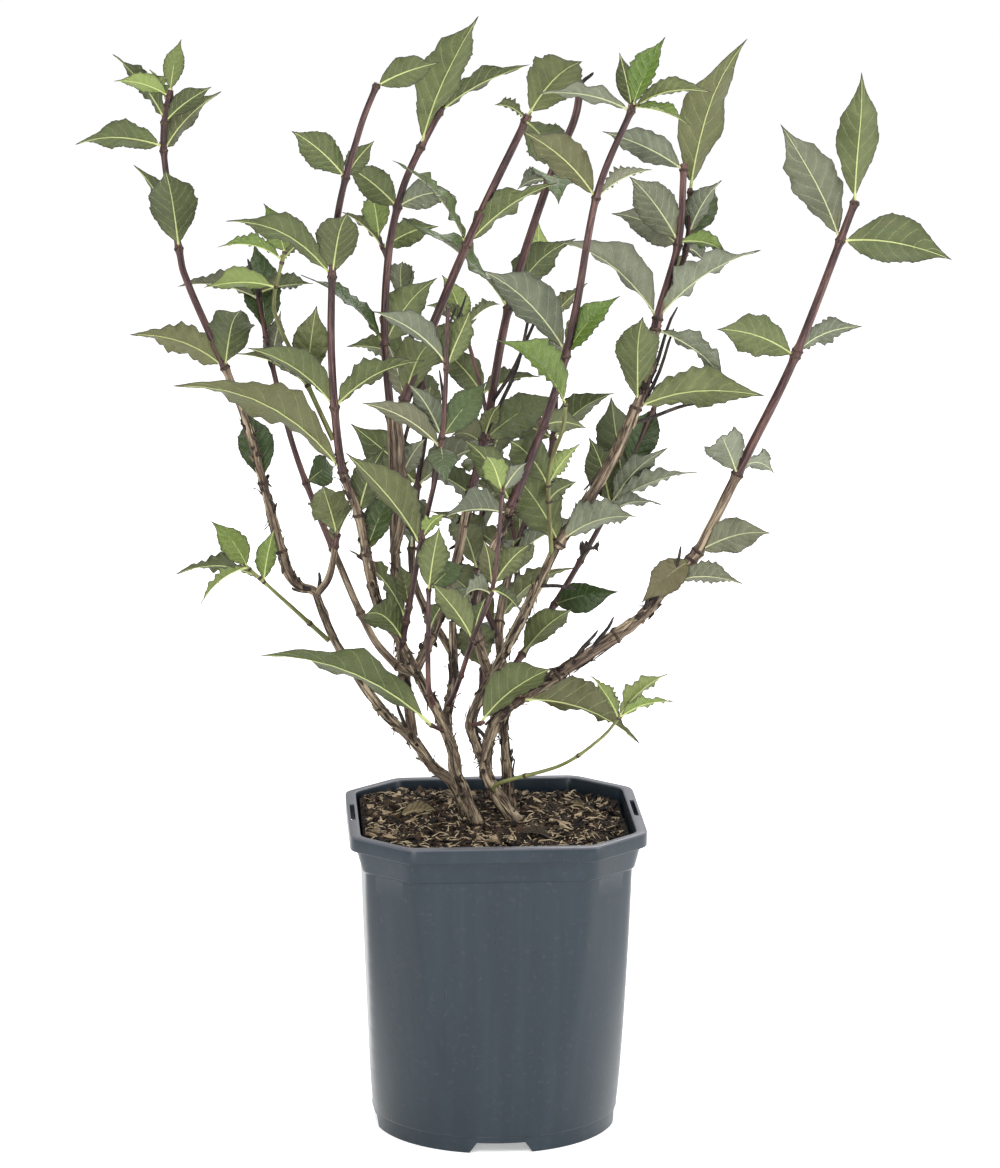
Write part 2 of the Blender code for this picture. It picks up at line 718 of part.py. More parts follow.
class Limb:
    """A smooth route with a width that tapers along it; distances are in millimetres."""

    def __init__(self, route, foot, tip, flare=0.0):
        self.points = smooth_route(route)
        steps = np.linalg.norm(np.diff(self.points, axis=0), axis=1)
        self.distances = np.concatenate(([0.0], np.cumsum(steps)))
        self.length = self.distances[-1]
        self.foot = foot / 2
        self.tip = tip / 2
        self.flare = flare
        self.frames = carried_frames(self.points)

    def at(self, distance):
        place = min(max(distance, 0.0), self.length)
        return Vector([np.interp(place, self.distances, self.points[:, axis]) for axis in range(3)])

    def frame(self, distance):
        index = int(np.abs(self.distances - distance).argmin())
        return self.frames[index]

    def radius(self, distance):
        share = min(max(distance / self.length, 0.0), 1.0)
        plain = self.foot + (self.tip - self.foot) * share
        return plain * (1 + self.flare * max(0.0, 1 - distance / FLARE_HEIGHT) ** 2)


def smooth_route(route):
    """A Catmull-Rom curve through the route's points, in even steps."""
    points = [Vector(point) for point in route]
    ends = [points[0] * 2 - points[1]] + points + [points[-1] * 2 - points[-2]]
    result = []
    for index in range(1, len(ends) - 2):
        p0, p1, p2, p3 = ends[index - 1:index + 3]
        count = max(2, round((p2 - p1).length / ROUTE_STEP))
        for step in range(count):
            t = step / count
            even = (p1 * 2) + (p2 - p0) * t
            curve = (p0 * 2 - p1 * 5 + p2 * 4 - p3) * t ** 2 + (p1 * 3 - p0 - p2 * 3 + p3) * t ** 3
            result.append((even + curve) * 0.5)
    result.append(points[-1])
    return np.array([tuple(point) for point in result])


def carried_frames(points):
    """Tangent and two cross directions at each point, carried along without twist."""
    tangents = np.gradient(points, axis=0)
    frames = []
    side = None
    for tangent in tangents:
        along = Vector(tangent).normalized()
        if side is None:
            side = Vector((0, -1, 0))
        side = (side - along * side.dot(along)).normalized()
        frames.append((along, side, along.cross(side)))
    return frames


def limb_stations(limb, start, end):
    """Distances where the straight facets of the tube begin and end."""
    stations = [start, end]
    index = 0
    while index < len(stations) - 1:
        low, high = stations[index], stations[index + 1]
        first, last = limb.at(low), limb.at(high)
        middle = (low + high) / 2
        chord = (last - first).normalized()
        offset = limb.at(middle) - first
        bow = (offset - chord * offset.dot(chord)).length
        if bow > ROUTE_TOLERANCE or high - low > LONGEST_FACET:
            stations.insert(index + 1, middle)
        else:
            index += 1
    return stations


def tube_sides(limb, start):
    width = limb.radius(start) * 2
    for least, sides in TUBE_SIDES:
        if width > least:
            return sides


def make_tube(name, limb, start, end, material=None, grow=0.0, ground=None):
    """A faceted tube along part of a limb; with a ground height its foot is cut level there."""
    sides = tube_sides(limb, start)
    stations = limb_stations(limb, start, end)
    if grow:
        stations = [start - grow] + stations[1:-1] + [end + grow]
    vertices = []
    for number, distance in enumerate(stations):
        along, side, other = limb.frame(distance)
        centre = limb.at(distance)
        if distance < 0:
            centre += along * distance
        if distance > limb.length:
            centre += along * (distance - limb.length)
        radius = limb.radius(max(distance, 0.0)) + grow / math.cos(math.pi / sides)
        for index in range(sides):
            angle = 2 * math.pi * index / sides
            point = centre + side * (radius * math.cos(angle)) + other * (radius * math.sin(angle))
            if ground is not None and number == 0:
                point -= along * ((point.z - ground) / along.z)
            vertices.append(point * MM)
    count = len(stations)
    faces = [tuple(range(sides - 1, -1, -1)), tuple(range((count - 1) * sides, count * sides))]
    for row in range(count - 1):
        for index in range(sides):
            following = (index + 1) % sides
            low = row * sides
            high = low + sides
            faces.append((low + index, low + following, high + following, high + index))
    return make_object(name, vertices, faces, material)


class Plant:
    """Holds every limb piece and leaf that later pieces must keep clear of."""

    def __init__(self, bark, green):
        self.bark = bark
        self.green = green
        self.pieces = {}
        self.objects = {}
        self.trees = []

    def add_piece(self, name, limb, start, end, carriers, ground=None):
        """One solid tube, with the tubes of its carriers and a gap cut out of its foot."""
        item = make_tube(name, limb, start, end, self.bark, 0.0, ground)
        for carrier in carriers:
            cutter = make_tube("cutter", *self.pieces[carrier], None, GAP)
            apply_boolean(item, "DIFFERENCE", cutter)
            remove_object(cutter)
        keep_largest_piece(item)
        self.pieces[name] = (limb, start, end)
        self.objects[name] = item

    def add_trees(self):
        for name, item in self.objects.items():
            self.trees.append((name, *tree_of(item)))

    def blocked(self, item, own):
        """True if the test leaf touches any piece apart from its own mass."""
        tree, low, high = tree_of(item)
        for name, other, other_low, other_high in self.trees:
            if name == own:
                continue
            if any(low[a] > other_high[a] or high[a] < other_low[a] for a in range(3)):
                continue
            if tree.overlap(other):
                return True
        return False


def tree_of(item):
    vertices = [vertex.co.copy() for vertex in item.data.vertices]
    faces = [tuple(face.vertices) for face in item.data.polygons]
    low = [min(v[a] for v in vertices) for a in range(3)]
    high = [max(v[a] for v in vertices) for a in range(3)]
    return BVHTree.FromPolygons(vertices, faces), low, high


# Leaves

def leaf_axes(heading, rise, turn):
    """Direction of the midrib and of the blade's upper side."""
    heading, rise, turn = math.radians(heading), math.radians(rise), math.radians(turn)
    flat = math.cos(rise)
    along = Vector((flat * math.cos(heading), flat * math.sin(heading), math.sin(rise)))
    wanted = Vector((0.0, math.sin(turn), math.cos(turn)))
    upper = wanted - along * wanted.dot(along)
    if upper.length < 0.2:
        upper = Vector((0.0, 0.0, 1.0)) - along * along.z
    return along, upper.normalized()


def make_leaf(root, leaf, inflate=False, skip=0.0):
    """A folded, arched blade of diamond section that narrows to a petiole and a pointed tip."""
    along, upper = leaf_axes(leaf["heading"], leaf["rise"], leaf["turn"])
    side = along.cross(upper)
    hang = Vector((0, 0, 1)) - along * along.z
    length = leaf["length"] + (CLEAR_LENGTH if inflate else 0.0)
    width = leaf["width"] + (CLEAR_WIDTH if inflate else 0.0)
    thickness = leaf["length"] * LEAF_THICKNESS + (CLEAR_THICKNESS if inflate else 0.0)
    lift = math.tan(math.radians(leaf["fold"])) * width / 2
    vertices = []
    for station, share in zip(LEAF_STATIONS, LEAF_WIDTHS):
        t = max(station, skip)
        if station < skip and station > 0:
            continue
        half = max(width * share, PETIOLE_WIDTH + (CLEAR_WIDTH if inflate else 0.0)) / 2
        bow = upper * leaf["arch"] + hang * leaf["droop"]
        centre = root + along * (length * t) + bow * (4 * length * t * (1 - t))
        if station == 1.0:
            vertices.append(centre * MM)
            continue
        edge = upper * (lift * share)
        vertices.append((centre - side * half + edge) * MM)
        vertices.append((centre + upper * (thickness / 2)) * MM)
        vertices.append((centre + side * half + edge) * MM)
        vertices.append((centre - upper * (thickness / 2)) * MM)
    rows = (len(vertices) - 1) // 4
    faces = [(0, 1, 2), (0, 2, 3)]
    for row in range(rows - 1):
        for index in range(4):
            a, b = row * 4 + index, row * 4 + (index + 1) % 4
            faces += [(a, b + 4, b), (a, a + 4, b + 4)]
    tip = len(vertices) - 1
    last = (rows - 1) * 4
    for index in range(4):
        faces.append((last + index, tip, last + (index + 1) % 4))
    return make_object("leaf", vertices, faces)


def leaf_from(chance, along, heading, rise, length, face):
    """One leaf's sizes, with the small differences that chance gives it."""
    turn, ratio = FACES[face]
    return dict(
        along=along, heading=heading, rise=rise, length=length, turn=turn, width=length * ratio,
        arch=chance.uniform(*LEAF_ARCH), droop=chance.uniform(*LEAF_DROOP),
        fold=chance.uniform(*LEAF_FOLD),
    )


def place_leaf(plant, name, limb, leaf, own):
    """Tries small turns, then a smaller size, and leaves the leaf out if none is clear."""
    root = limb.at(leaf["along"])
    for scale in TRY_SCALES:
        for heading, rise in LEAF_TRIES:
            tried = dict(leaf)
            tried["heading"] = leaf["heading"] + heading
            tried["rise"] = leaf["rise"] + rise
            tried["length"] = leaf["length"] * scale
            tried["width"] = leaf["width"] * scale
            if leaf_is_clear(plant, name, root, tried, own):
                return make_leaf(root, tried)
    return None


def leaf_is_clear(plant, name, root, leaf, own):
    """True if the leaf misses every other piece, and its outer part the leaves of its own mass."""
    test = make_leaf(root, leaf, True)
    lowest = min(vertex.co.z for vertex in test.data.vertices)
    blocked = plant.blocked(test, name)
    remove_object(test)
    if blocked or lowest < LOWEST_LEAF * MM:
        return False
    outer = make_leaf(root, leaf, True, FREE_FROM)
    tree, low, high = tree_of(outer)
    remove_object(outer)
    for other, other_low, other_high in own:
        if any(low[a] > other_high[a] or high[a] < other_low[a] for a in range(3)):
            continue
        if tree.overlap(other):
            return False
    return True


def grow_mass(plant, name, leaves):
    """Sets the leaves on one mass's twig and joins them to it in a single union."""
    limb = plant.pieces[name][0]
    twig = plant.objects[name]
    group = bpy.data.collections.new(name + "_leaves")
    bpy.context.scene.collection.children.link(group)
    own = [tree_of(twig)]
    placed = []
    for leaf in leaves:
        item = place_leaf(plant, name, limb, leaf, own)
        if item is None:
            continue
        bpy.context.collection.objects.unlink(item)
        group.objects.link(item)
        own.append(tree_of(item))
        placed.append(item)
    if placed:
        apply_boolean(twig, "UNION", group)
    for item in placed:
        remove_object(item)
    bpy.data.collections.remove(group)
    keep_largest_piece(twig)
    twig.data.materials.clear()
    twig.data.materials.append(plant.green)
    plant.trees = [entry for entry in plant.trees if entry[0] != name]
    plant.trees.append((name, *tree_of(twig)))


def cane_parts(cane, length):
    """Start and end of each node's share of a cane, with the gap between neighbours."""
    start = GAP if cane["joint"] == "end" else 0.0
    parts = []
    for name, end in cane["nodes"]:
        last = name == cane["nodes"][-1][0]
        stop = length if last else min(end, length)
        parts.append((name, start, stop - (0.0 if last else GAP / 2)))
        start = stop + GAP / 2
    return parts


def back_cane(name, sizes, carrier):
    """A rule-grown cane: a bowed route, a bough and a mass, and opposite pairs of leaves."""
    chance = random.Random(sizes["seed"])
    start = carrier.at(sizes["start"])
    heading = math.radians(sizes["heading"])
    out = Vector((math.cos(heading), math.sin(heading), 0))
    across = Vector((-out.y, out.x, 0))
    rise = sizes["height"] - start.z
    route = []
    for step in range(6):
        t = step / 5
        bow = BACK_BOW * sizes["reach"] * math.sin(2.2 * math.pi * t) * chance.uniform(0.6, 1.0)
        point = start + out * (sizes["reach"] * t ** 0.8) + across * bow
        route.append((point.x, point.y, start.z + rise * t ** 1.1))
    limb = Limb(route, sizes["foot"], BACK_TIP)
    leaves = []
    along = sizes["bough"] + 14.0
    heading = chance.uniform(0, 90)
    while along < limb.length:
        share = along / limb.length
        length = PAIR_LENGTH[0] + (PAIR_LENGTH[1] - PAIR_LENGTH[0]) * share
        for turn in (0, 180):
            face = chance.choice(("wide", "half", "half", "slim"))
            size = length * chance.uniform(0.85, 1.1)
            leaves.append((along, heading + turn, chance.uniform(*PAIR_RISE), size, face))
        heading += 90 + chance.uniform(-15, 15)
        along += chance.uniform(*PAIR_STEP)
    leaves.append((limb.length - 1.5, heading, 60, PAIR_LENGTH[1], "wide"))
    nodes = (("bough_" + name, sizes["bough"]), ("leaves_" + name, limb.length))
    cane = dict(joint=sizes["joint"], on=sizes["on"], nodes=nodes, leaves=leaves)
    return cane, limb


def make_plant(bark, green):
    plant = Plant(bark, green)
    for name, stem in STEMS.items():
        grounded = stem["joint"] == "ground"
        limb = Limb(stem["route"], stem["foot"], stem["tip"], FLARE if grounded else 0.0)
        ground = COMPOST_CROWN + GAP if grounded else None
        plant.add_piece(name, limb, 0.0, limb.length, stem["on"], ground)
    canes = [(name, cane, Limb(cane["route"], cane["foot"], cane["tip"])) for name, cane in CANES.items()]
    masses = []
    for name, cane, limb in order_by_carrier(canes, plant):
        masses += add_cane(plant, cane, limb)
    for name, sizes in BACK_CANES.items():
        masses += add_cane(plant, *back_cane(name, sizes, plant.pieces[sizes["on"][0]][0]))
    plant.add_trees()
    for part, rows in masses:
        chance = random.Random(part)
        grow_mass(plant, part, [leaf_from(chance, *row) for row in rows])
    return plant


def add_cane(plant, cane, limb):
    """Adds the cane's nodes one after another and returns its masses with their rows of leaves."""
    masses = []
    carriers = cane["on"]
    for part, start, end in cane_parts(cane, limb.length):
        plant.add_piece(part, limb, start, end, carriers)
        carriers = ()
        if part.startswith("leaves"):
            masses.append((part, [row for row in cane["leaves"] if start <= row[0] <= end]))
    return masses


def order_by_carrier(canes, plant):
    """Yields the canes so that each comes after the pieces that it stands on."""
    waiting = list(canes)
    while waiting:
        ready = [entry for entry in waiting if all(on in plant.pieces for on in entry[1]["on"])]
        for entry in ready:
            waiting.remove(entry)
            yield entry


def main():
    clear_scene()
    plastic = make_material("pot_plastic", (0.075, 0.09, 0.105), 0.45)
    bark_mix = make_material("compost_bark", (0.06, 0.04, 0.028), 0.9)
    bark = make_material("cane_bark", (0.16, 0.09, 0.07), 0.75)
    green = make_material("leaf_green", (0.17, 0.22, 0.08), 0.6)
    make_pot(plastic)
    make_compost(bark_mix)
    make_plant(bark, green)


main()
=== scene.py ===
# A dwarf weigela in a square nursery container, dressed over its frame: moulded pot, bark compost with
# fallen leaves, peeling stems, young canes with their nodes, buds and dry stubs, and veined leaves.
# Sizes of the plant are in millimetres and angles in degrees; +X is right, +Y is back, +Z is up.
import math
import random

import bpy
import numpy as np
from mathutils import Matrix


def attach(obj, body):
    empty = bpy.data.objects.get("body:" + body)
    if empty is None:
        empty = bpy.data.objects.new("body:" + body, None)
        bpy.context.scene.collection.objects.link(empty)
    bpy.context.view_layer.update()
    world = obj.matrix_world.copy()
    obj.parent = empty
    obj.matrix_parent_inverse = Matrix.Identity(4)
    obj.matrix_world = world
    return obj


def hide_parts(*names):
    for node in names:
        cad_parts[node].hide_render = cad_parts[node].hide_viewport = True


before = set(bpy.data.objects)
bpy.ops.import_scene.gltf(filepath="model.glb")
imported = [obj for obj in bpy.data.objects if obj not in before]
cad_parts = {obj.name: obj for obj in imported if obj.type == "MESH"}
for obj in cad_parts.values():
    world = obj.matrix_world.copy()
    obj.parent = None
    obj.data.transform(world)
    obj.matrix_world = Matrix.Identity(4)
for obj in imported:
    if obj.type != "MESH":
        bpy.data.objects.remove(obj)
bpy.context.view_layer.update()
mm = 0.001


# Shader graphs: a Wire is a socket that takes part in sums, and a Paint is one material
class Wire:
    def __init__(self, paint, socket):
        self.paint = paint
        self.socket = socket

    def combine(self, operation, first, second):
        return self.paint.curve(operation, first, second)

    def __add__(self, other):
        return self.combine("ADD", self, other)

    def __radd__(self, other):
        return self.combine("ADD", other, self)

    def __sub__(self, other):
        return self.combine("SUBTRACT", self, other)

    def __rsub__(self, other):
        return self.combine("SUBTRACT", other, self)

    def __mul__(self, other):
        return self.combine("MULTIPLY", self, other)

    def __rmul__(self, other):
        return self.combine("MULTIPLY", other, self)


class Paint:
    def __init__(self, name, roughness=0.6, specular=0.4, own=False, **constants):
        self.own = own
        self.material = bpy.data.materials.new(name)
        self.material.use_nodes = True
        self.tree = self.material.node_tree
        self.shader = self.tree.nodes["Principled BSDF"]
        self.shader.inputs["Roughness"].default_value = roughness
        self.shader.inputs["Specular IOR Level"].default_value = specular
        for socket, value in constants.items():
            self.shader.inputs[socket].default_value = value

    # One method makes every other node: its settings first, then its sockets' values or links
    def node(self, kind, settings=None, values=None, output=0):
        item = self.tree.nodes.new(kind)
        for key, value in (settings or {}).items():
            if key == "stops":
                self.setStops(item.color_ramp, value)
            else:
                setattr(item, key, value)
        pairs = enumerate(values) if isinstance(values, list) else (values or {}).items()
        for key, value in pairs:
            self.feed(item.inputs[key], value)
        return Wire(self, item.outputs[output])

    def setStops(self, ramp, stops):
        while len(ramp.elements) < len(stops):
            ramp.elements.new(1.0)
        for element, (place, colour) in zip(ramp.elements, stops):
            element.position = place
            element.color = (*colour, 1.0)

    def feed(self, socket, value):
        if isinstance(value, Wire):
            self.tree.links.new(value.socket, socket)
        elif socket.type == "RGBA":
            socket.default_value = (*value, 1.0)
        else:
            socket.default_value = value

    # Where a point is: in the object, or in its own limb or leaf, kept in the mesh as ownPlace
    def ownPlace(self):
        return self.node("ShaderNodeAttribute", {"attribute_name": "ownPlace"}, output="Vector")

    def place(self, scale=(1.0, 1.0, 1.0)):
        coordinates = self.ownPlace() if self.own else self.node("ShaderNodeTexCoord", output="Object")
        return self.node("ShaderNodeMapping", None, {"Vector": coordinates, "Scale": scale})

    def noise(self, scale, detail=3.0, stretch=(1.0, 1.0, 1.0), roughness=0.55):
        values = {"Vector": self.place(stretch), "Scale": scale, "Detail": detail, "Roughness": roughness}
        return self.node("ShaderNodeTexNoise", None, values)

    def ramp(self, factor, *stops):
        return self.node("ShaderNodeValToRGB", {"stops": stops}, {"Fac": factor})

    def range(self, value, low, high, newLow=0.0, newHigh=1.0):
        return self.node("ShaderNodeMapRange", None, [value, low, high, newLow, newHigh])

    def mix(self, factor, first, second):
        return self.node("ShaderNodeMix", {"data_type": "RGBA"}, {0: factor, 6: first, 7: second}, 2)

    def curve(self, operation, *values):
        return self.node("ShaderNodeMath", {"operation": operation}, list(values))

    def bump(self, height, strength, distance):
        values = {"Height": height, "Strength": strength, "Distance": distance}
        self.feed(self.shader.inputs["Normal"], self.node("ShaderNodeBump", None, values))

    def set(self, socket, value):
        self.feed(self.shader.inputs[socket], value)


# Meshes: whole arrays of points in millimetres and of faces, put in at once
def makePiece(name, points, faces, paint, smooth=True, sharp=None, places=None):
    mesh = bpy.data.meshes.new(name)
    points = np.asarray(points, dtype=np.float64).reshape(-1, 3) * mm
    corners = np.concatenate([part.ravel() for part in faces])
    counts = np.concatenate([np.full(len(part), part.shape[1]) for part in faces])
    starts = np.concatenate(([0], np.cumsum(counts)[:-1]))
    mesh.vertices.add(len(points))
    mesh.vertices.foreach_set("co", points.astype(np.float32).ravel())
    if places is not None:
        layer = mesh.attributes.new("ownPlace", "FLOAT_VECTOR", "POINT")
        layer.data.foreach_set("vector", np.asarray(places, dtype=np.float32).ravel())
    mesh.loops.add(len(corners))
    mesh.loops.foreach_set("vertex_index", corners.astype(np.int32))
    mesh.polygons.add(len(counts))
    mesh.polygons.foreach_set("loop_start", starts.astype(np.int32))
    mesh.update(calc_edges=True)
    mesh.validate()
    mesh.polygons.foreach_set("use_smooth", np.full(len(mesh.polygons), smooth))
    if sharp:
        mesh.set_sharp_from_angle(angle=math.radians(sharp))
    mesh.materials.append(paint.material)
    piece = bpy.data.objects.new(name, mesh)
    bpy.context.scene.collection.objects.link(piece)
    return piece


# Quads between neighbouring rings and a fan to a pole at each end, for a number of equal tubes
def tubeFaces(rows, sides, count=1):
    ring = np.arange(sides)
    following = (ring + 1) % sides
    low = (np.arange(rows - 1) * sides)[:, None]
    quads = np.stack([low + ring, low + following, low + sides + following, low + sides + ring], -1)
    last = (rows - 1) * sides
    start = np.stack([np.full(sides, rows * sides), following, ring], -1)
    end = np.stack([np.full(sides, rows * sides + 1), last + ring, last + following], -1)
    shift = (np.arange(count) * (rows * sides + 2))[:, None, None]
    fans = np.concatenate([start, end])
    return [(quads.reshape(-1, 4) + shift).reshape(-1, 4), (fans + shift).reshape(-1, 3)]


# Even steps of angle round a circle
def ringAngles(sides):
    return 2 * np.pi * np.arange(sides) / sides


# Round each centre: centre + radius (cos a side + sin a other), with the end centres as poles
def tubePoints(centres, radius, side, other, sides):
    angle = ringAngles(sides)
    spokes = np.cos(angle)[:, None] * side[..., None, :] + np.sin(angle)[:, None] * other[..., None, :]
    rings = centres[..., None, :] + radius[..., None] * spokes
    body = rings.reshape(len(centres), -1, 3)
    return np.concatenate([body, centres[:, :1], centres[:, -1:]], axis=1)


# A plate round a grid of middle points: its back runs one way and its front the other
def platePoints(front, back):
    ring = np.concatenate([back[:, :, ::-1], front[:, :, 1:-1]], axis=2)
    ends = [(front[:, row] + back[:, row]).mean(axis=1, keepdims=True) / 2 for row in (0, -1)]
    body = ring.reshape(len(front), -1, 3)
    return np.concatenate([body] + ends, axis=1)


# Each vector over its own length
def unit(vectors):
    return vectors / np.maximum(np.linalg.norm(vectors, axis=-1, keepdims=True), 1e-9)


# Smooth wavy values from sums of sine products, the same on every run
def ripple(first, second, seed, waves=5):
    chance = random.Random(seed)
    total = 0.0
    for _ in range(waves):
        turn = chance.uniform(0, 2 * math.pi)
        total = total + np.sin(
            first * chance.uniform(0.5, 1.6) + second * chance.uniform(-1.2, 1.2) + turn
        ) * np.cos(second * chance.uniform(0.5, 1.6) + chance.uniform(0, 6))
    return total / waves


# Pot: a square with cut corners at the top that turns round towards its foot
pot = dict(
    height=206.0, rimHalf=95.0, rimDiagonal=109.1, rimInnerHalf=88.0, rimInnerDiagonal=103.0,
    lipDepth=9.5, collarHalf=91.0, collarFootHalf=87.2, collarDepth=14.0, bodyTopHalf=86.0,
    bodyTopDiagonal=100.4, bodyFootRadius=80.6, bodyFootHeight=11.3, roundGain=23.0, wall=2.2,
    bodyFootDiagonal=90.0, innerShoulder=182.5, innerHeights=(178, 150, 110, 70, 40), softening=0.9,
    floorUnderside=7.0, floorTop=9.5, footRing=79.0, footPad=30.0, sharpness=60, around=400, creases=38,
    notchLow=41.0, notchHigh=31.0, slotLength=40.0, slotWidth=3.0, slotY=4.0, noCircle=400.0,
)
# Corners of a block in x, y, z order make these six sides
blockSides = np.array([[0, 1, 3, 2], [4, 6, 7, 5], [0, 4, 5, 1], [2, 3, 7, 6], [0, 2, 6, 4], [1, 5, 7, 3]])


# Radius at each angle: the p-norm of the distances to eight flats and a circle, which rounds corners
def outlineRadius(angle, flat, diagonal, circle):
    p = pot["sharpness"]
    facing = np.maximum(np.cos(angle[:, None] - np.arange(8) * np.pi / 4), 0.0)
    reach = np.where(np.arange(8) % 2 == 0, flat[:, None, None], diagonal[:, None, None])
    total = ((facing[None] / reach) ** p).sum(axis=2) + (1.0 / circle[:, None]) ** p
    return total ** (-1.0 / p)


# The body's section at a height: flats lean out evenly while the round part opens and fades
def bodySection(height, inset=0.0):
    top = pot["height"] - pot["lipDepth"] - pot["collarDepth"] - 1.0
    share = min(max((height - pot["bodyFootHeight"]) / (top - pot["bodyFootHeight"]), 0.0), 1.0)
    circle = pot["bodyFootRadius"] + pot["roundGain"] * (1 - (1 - share) ** 1.2)
    flat = pot["bodyFootRadius"] + (pot["bodyTopHalf"] - pot["bodyFootRadius"]) * share
    diagonal = pot["bodyFootDiagonal"] + (pot["bodyTopDiagonal"] - pot["bodyFootDiagonal"]) * share
    return (height, flat - inset, diagonal - inset, circle - inset)


# A section whose flats stand clear of its circle, and one whose circle stands clear of its flats
def roundSection(height, radius):
    return (height, radius * 1.3, radius * 1.3, radius)


def rimSection(height, flat, diagonal):
    return (height, flat, diagonal, pot["noCircle"])


# The inside from the lip down to the floor: the outer sections less the wall, and less an inset more
def innerSections(inset=0.0):
    lipFoot = pot["height"] - pot["lipDepth"]
    sections = [
        rimSection(lipFoot, pot["rimInnerHalf"] - 0.4 - inset, pot["rimInnerDiagonal"] - 0.6 - inset),
        rimSection(
            pot["innerShoulder"], pot["bodyTopHalf"] - 1.0 - inset, pot["bodyTopDiagonal"] - 1.0 - inset,
        ),
    ]
    sections += [bodySection(height, pot["wall"] + inset) for height in pot["innerHeights"]]
    sections += [
        bodySection(pot["floorTop"] + 3, pot["wall"] + inset),
        roundSection(pot["floorTop"], pot["bodyFootRadius"] - pot["wall"] - 1.6 - inset),
    ]
    return sections


# Each corner of the profile becomes a short curve between points a little before and after it
def softenCorners(sections, reach, steps=4):
    rows = np.array(sections, dtype=float)
    before, corner, after = rows[:-2], rows[1:-1], rows[2:]
    back, ahead = before - corner, after - corner
    backLength = np.linalg.norm(back[:, :2], axis=1, keepdims=True)
    aheadLength = np.linalg.norm(ahead[:, :2], axis=1, keepdims=True)
    start = corner + back * np.minimum(reach / np.maximum(backLength, 1e-6), 0.45)
    end = corner + ahead * np.minimum(reach / np.maximum(aheadLength, 1e-6), 0.45)
    t = np.linspace(0, 1, steps)[None, :, None]
    curve = start[:, None] * (1 - t) ** 2 + 2 * corner[:, None] * t * (1 - t) + end[:, None] * t ** 2
    return np.vstack([rows[:1], curve.reshape(-1, 4), rows[-1:]])


# A closed shell from rows of sections, each a ring of points round the axis
def turnedShell(sections):
    angle = ringAngles(pot["around"])
    height, flat, diagonal, circle = sections.T
    radius = outlineRadius(angle, flat, diagonal, circle)
    rings = np.stack([radius * np.cos(angle), radius * np.sin(angle), radius * 0 + height[:, None]], -1)
    poles = np.array([[0, 0, height[0]], [0, 0, height[-1]]], dtype=float)
    return np.concatenate([rings.reshape(-1, 3), poles]), tubeFaces(len(sections), pot["around"])


# Takes a six-sided block away from a piece
def cut(target, corners):
    block = makePiece("block", np.array(corners, dtype=float), [blockSides], plasticPaint)
    modifier = target.modifiers.new("cut", "BOOLEAN")
    modifier.operation = "DIFFERENCE"
    modifier.solver = "EXACT"
    modifier.object = block
    graph = bpy.context.evaluated_depsgraph_get()
    result = bpy.data.meshes.new_from_object(target.evaluated_get(graph))
    target.modifiers.remove(modifier)
    target.data = result
    bpy.data.objects.remove(block, do_unlink=True)


# One profile from the foot pad up the outside, over the lip and down the inside, then four notches in the
# foot ring, wider at their feet, and two hanging slots in the lip
def makePot():
    lipFoot = pot["height"] - pot["lipDepth"]
    collarFoot = lipFoot - pot["collarDepth"]
    skirtInner = pot["footRing"] - pot["wall"]
    sections = [
        roundSection(0.0, 1.0),
        roundSection(0.0, pot["footPad"]),
        roundSection(pot["floorUnderside"], pot["footPad"] + 0.6),
        roundSection(pot["floorUnderside"], skirtInner),
        roundSection(0.0, skirtInner),
        roundSection(0.0, pot["footRing"]),
        roundSection(pot["bodyFootHeight"] - 1.3, pot["footRing"]),
    ]
    sections += [bodySection(height) for height in np.linspace(pot["bodyFootHeight"], collarFoot - 1.0, 12)]
    sections += [
        rimSection(collarFoot, pot["collarFootHalf"], pot["bodyTopDiagonal"] + 2.4),
        rimSection(lipFoot - 0.6, pot["collarHalf"], pot["rimDiagonal"] - 4.0),
        rimSection(lipFoot, pot["rimHalf"], pot["rimDiagonal"]),
        rimSection(pot["height"], pot["rimHalf"], pot["rimDiagonal"]),
        rimSection(pot["height"], pot["rimInnerHalf"], pot["rimInnerDiagonal"]),
    ]
    sections += innerSections() + [roundSection(pot["floorTop"], 1.0)]
    points, faces = turnedShell(softenCorners(sections, pot["softening"]))
    piece = makePiece("potShell", points, faces, plasticPaint)
    near, far = skirtInner - 4, pot["footRing"] + 6
    low, high = pot["notchLow"] / 2 + 0.6, pot["notchHigh"] / 2
    for quarter in range(4):
        turn = quarter * math.pi / 2
        across = np.array([-math.sin(turn), math.cos(turn), 0])
        outward = np.array([math.cos(turn), math.sin(turn), 0])
        cut(piece, [
            outward * reach + across * (sign * (low if height < 0 else high)) + np.array([0, 0, height])
            for reach in (near, far) for sign in (-1, 1) for height in (-1.0, pot["floorUnderside"])
        ])
    for sign in (-1, 1):
        middle = sign * (pot["rimHalf"] + pot["rimInnerHalf"]) / 2
        cut(piece, [
            [middle + x * pot["slotWidth"] / 2, pot["slotY"] + y * pot["slotLength"] / 2, z]
            for x in (-1, 1) for y in (-1, 1) for z in (lipFoot - 4, pot["height"] + 4)
        ])
    piece.data.polygons.foreach_set("use_smooth", np.full(len(piece.data.polygons), True))
    piece.data.set_sharp_from_angle(angle=math.radians(pot["creases"]))
    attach(piece, "root")
    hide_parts("pot")


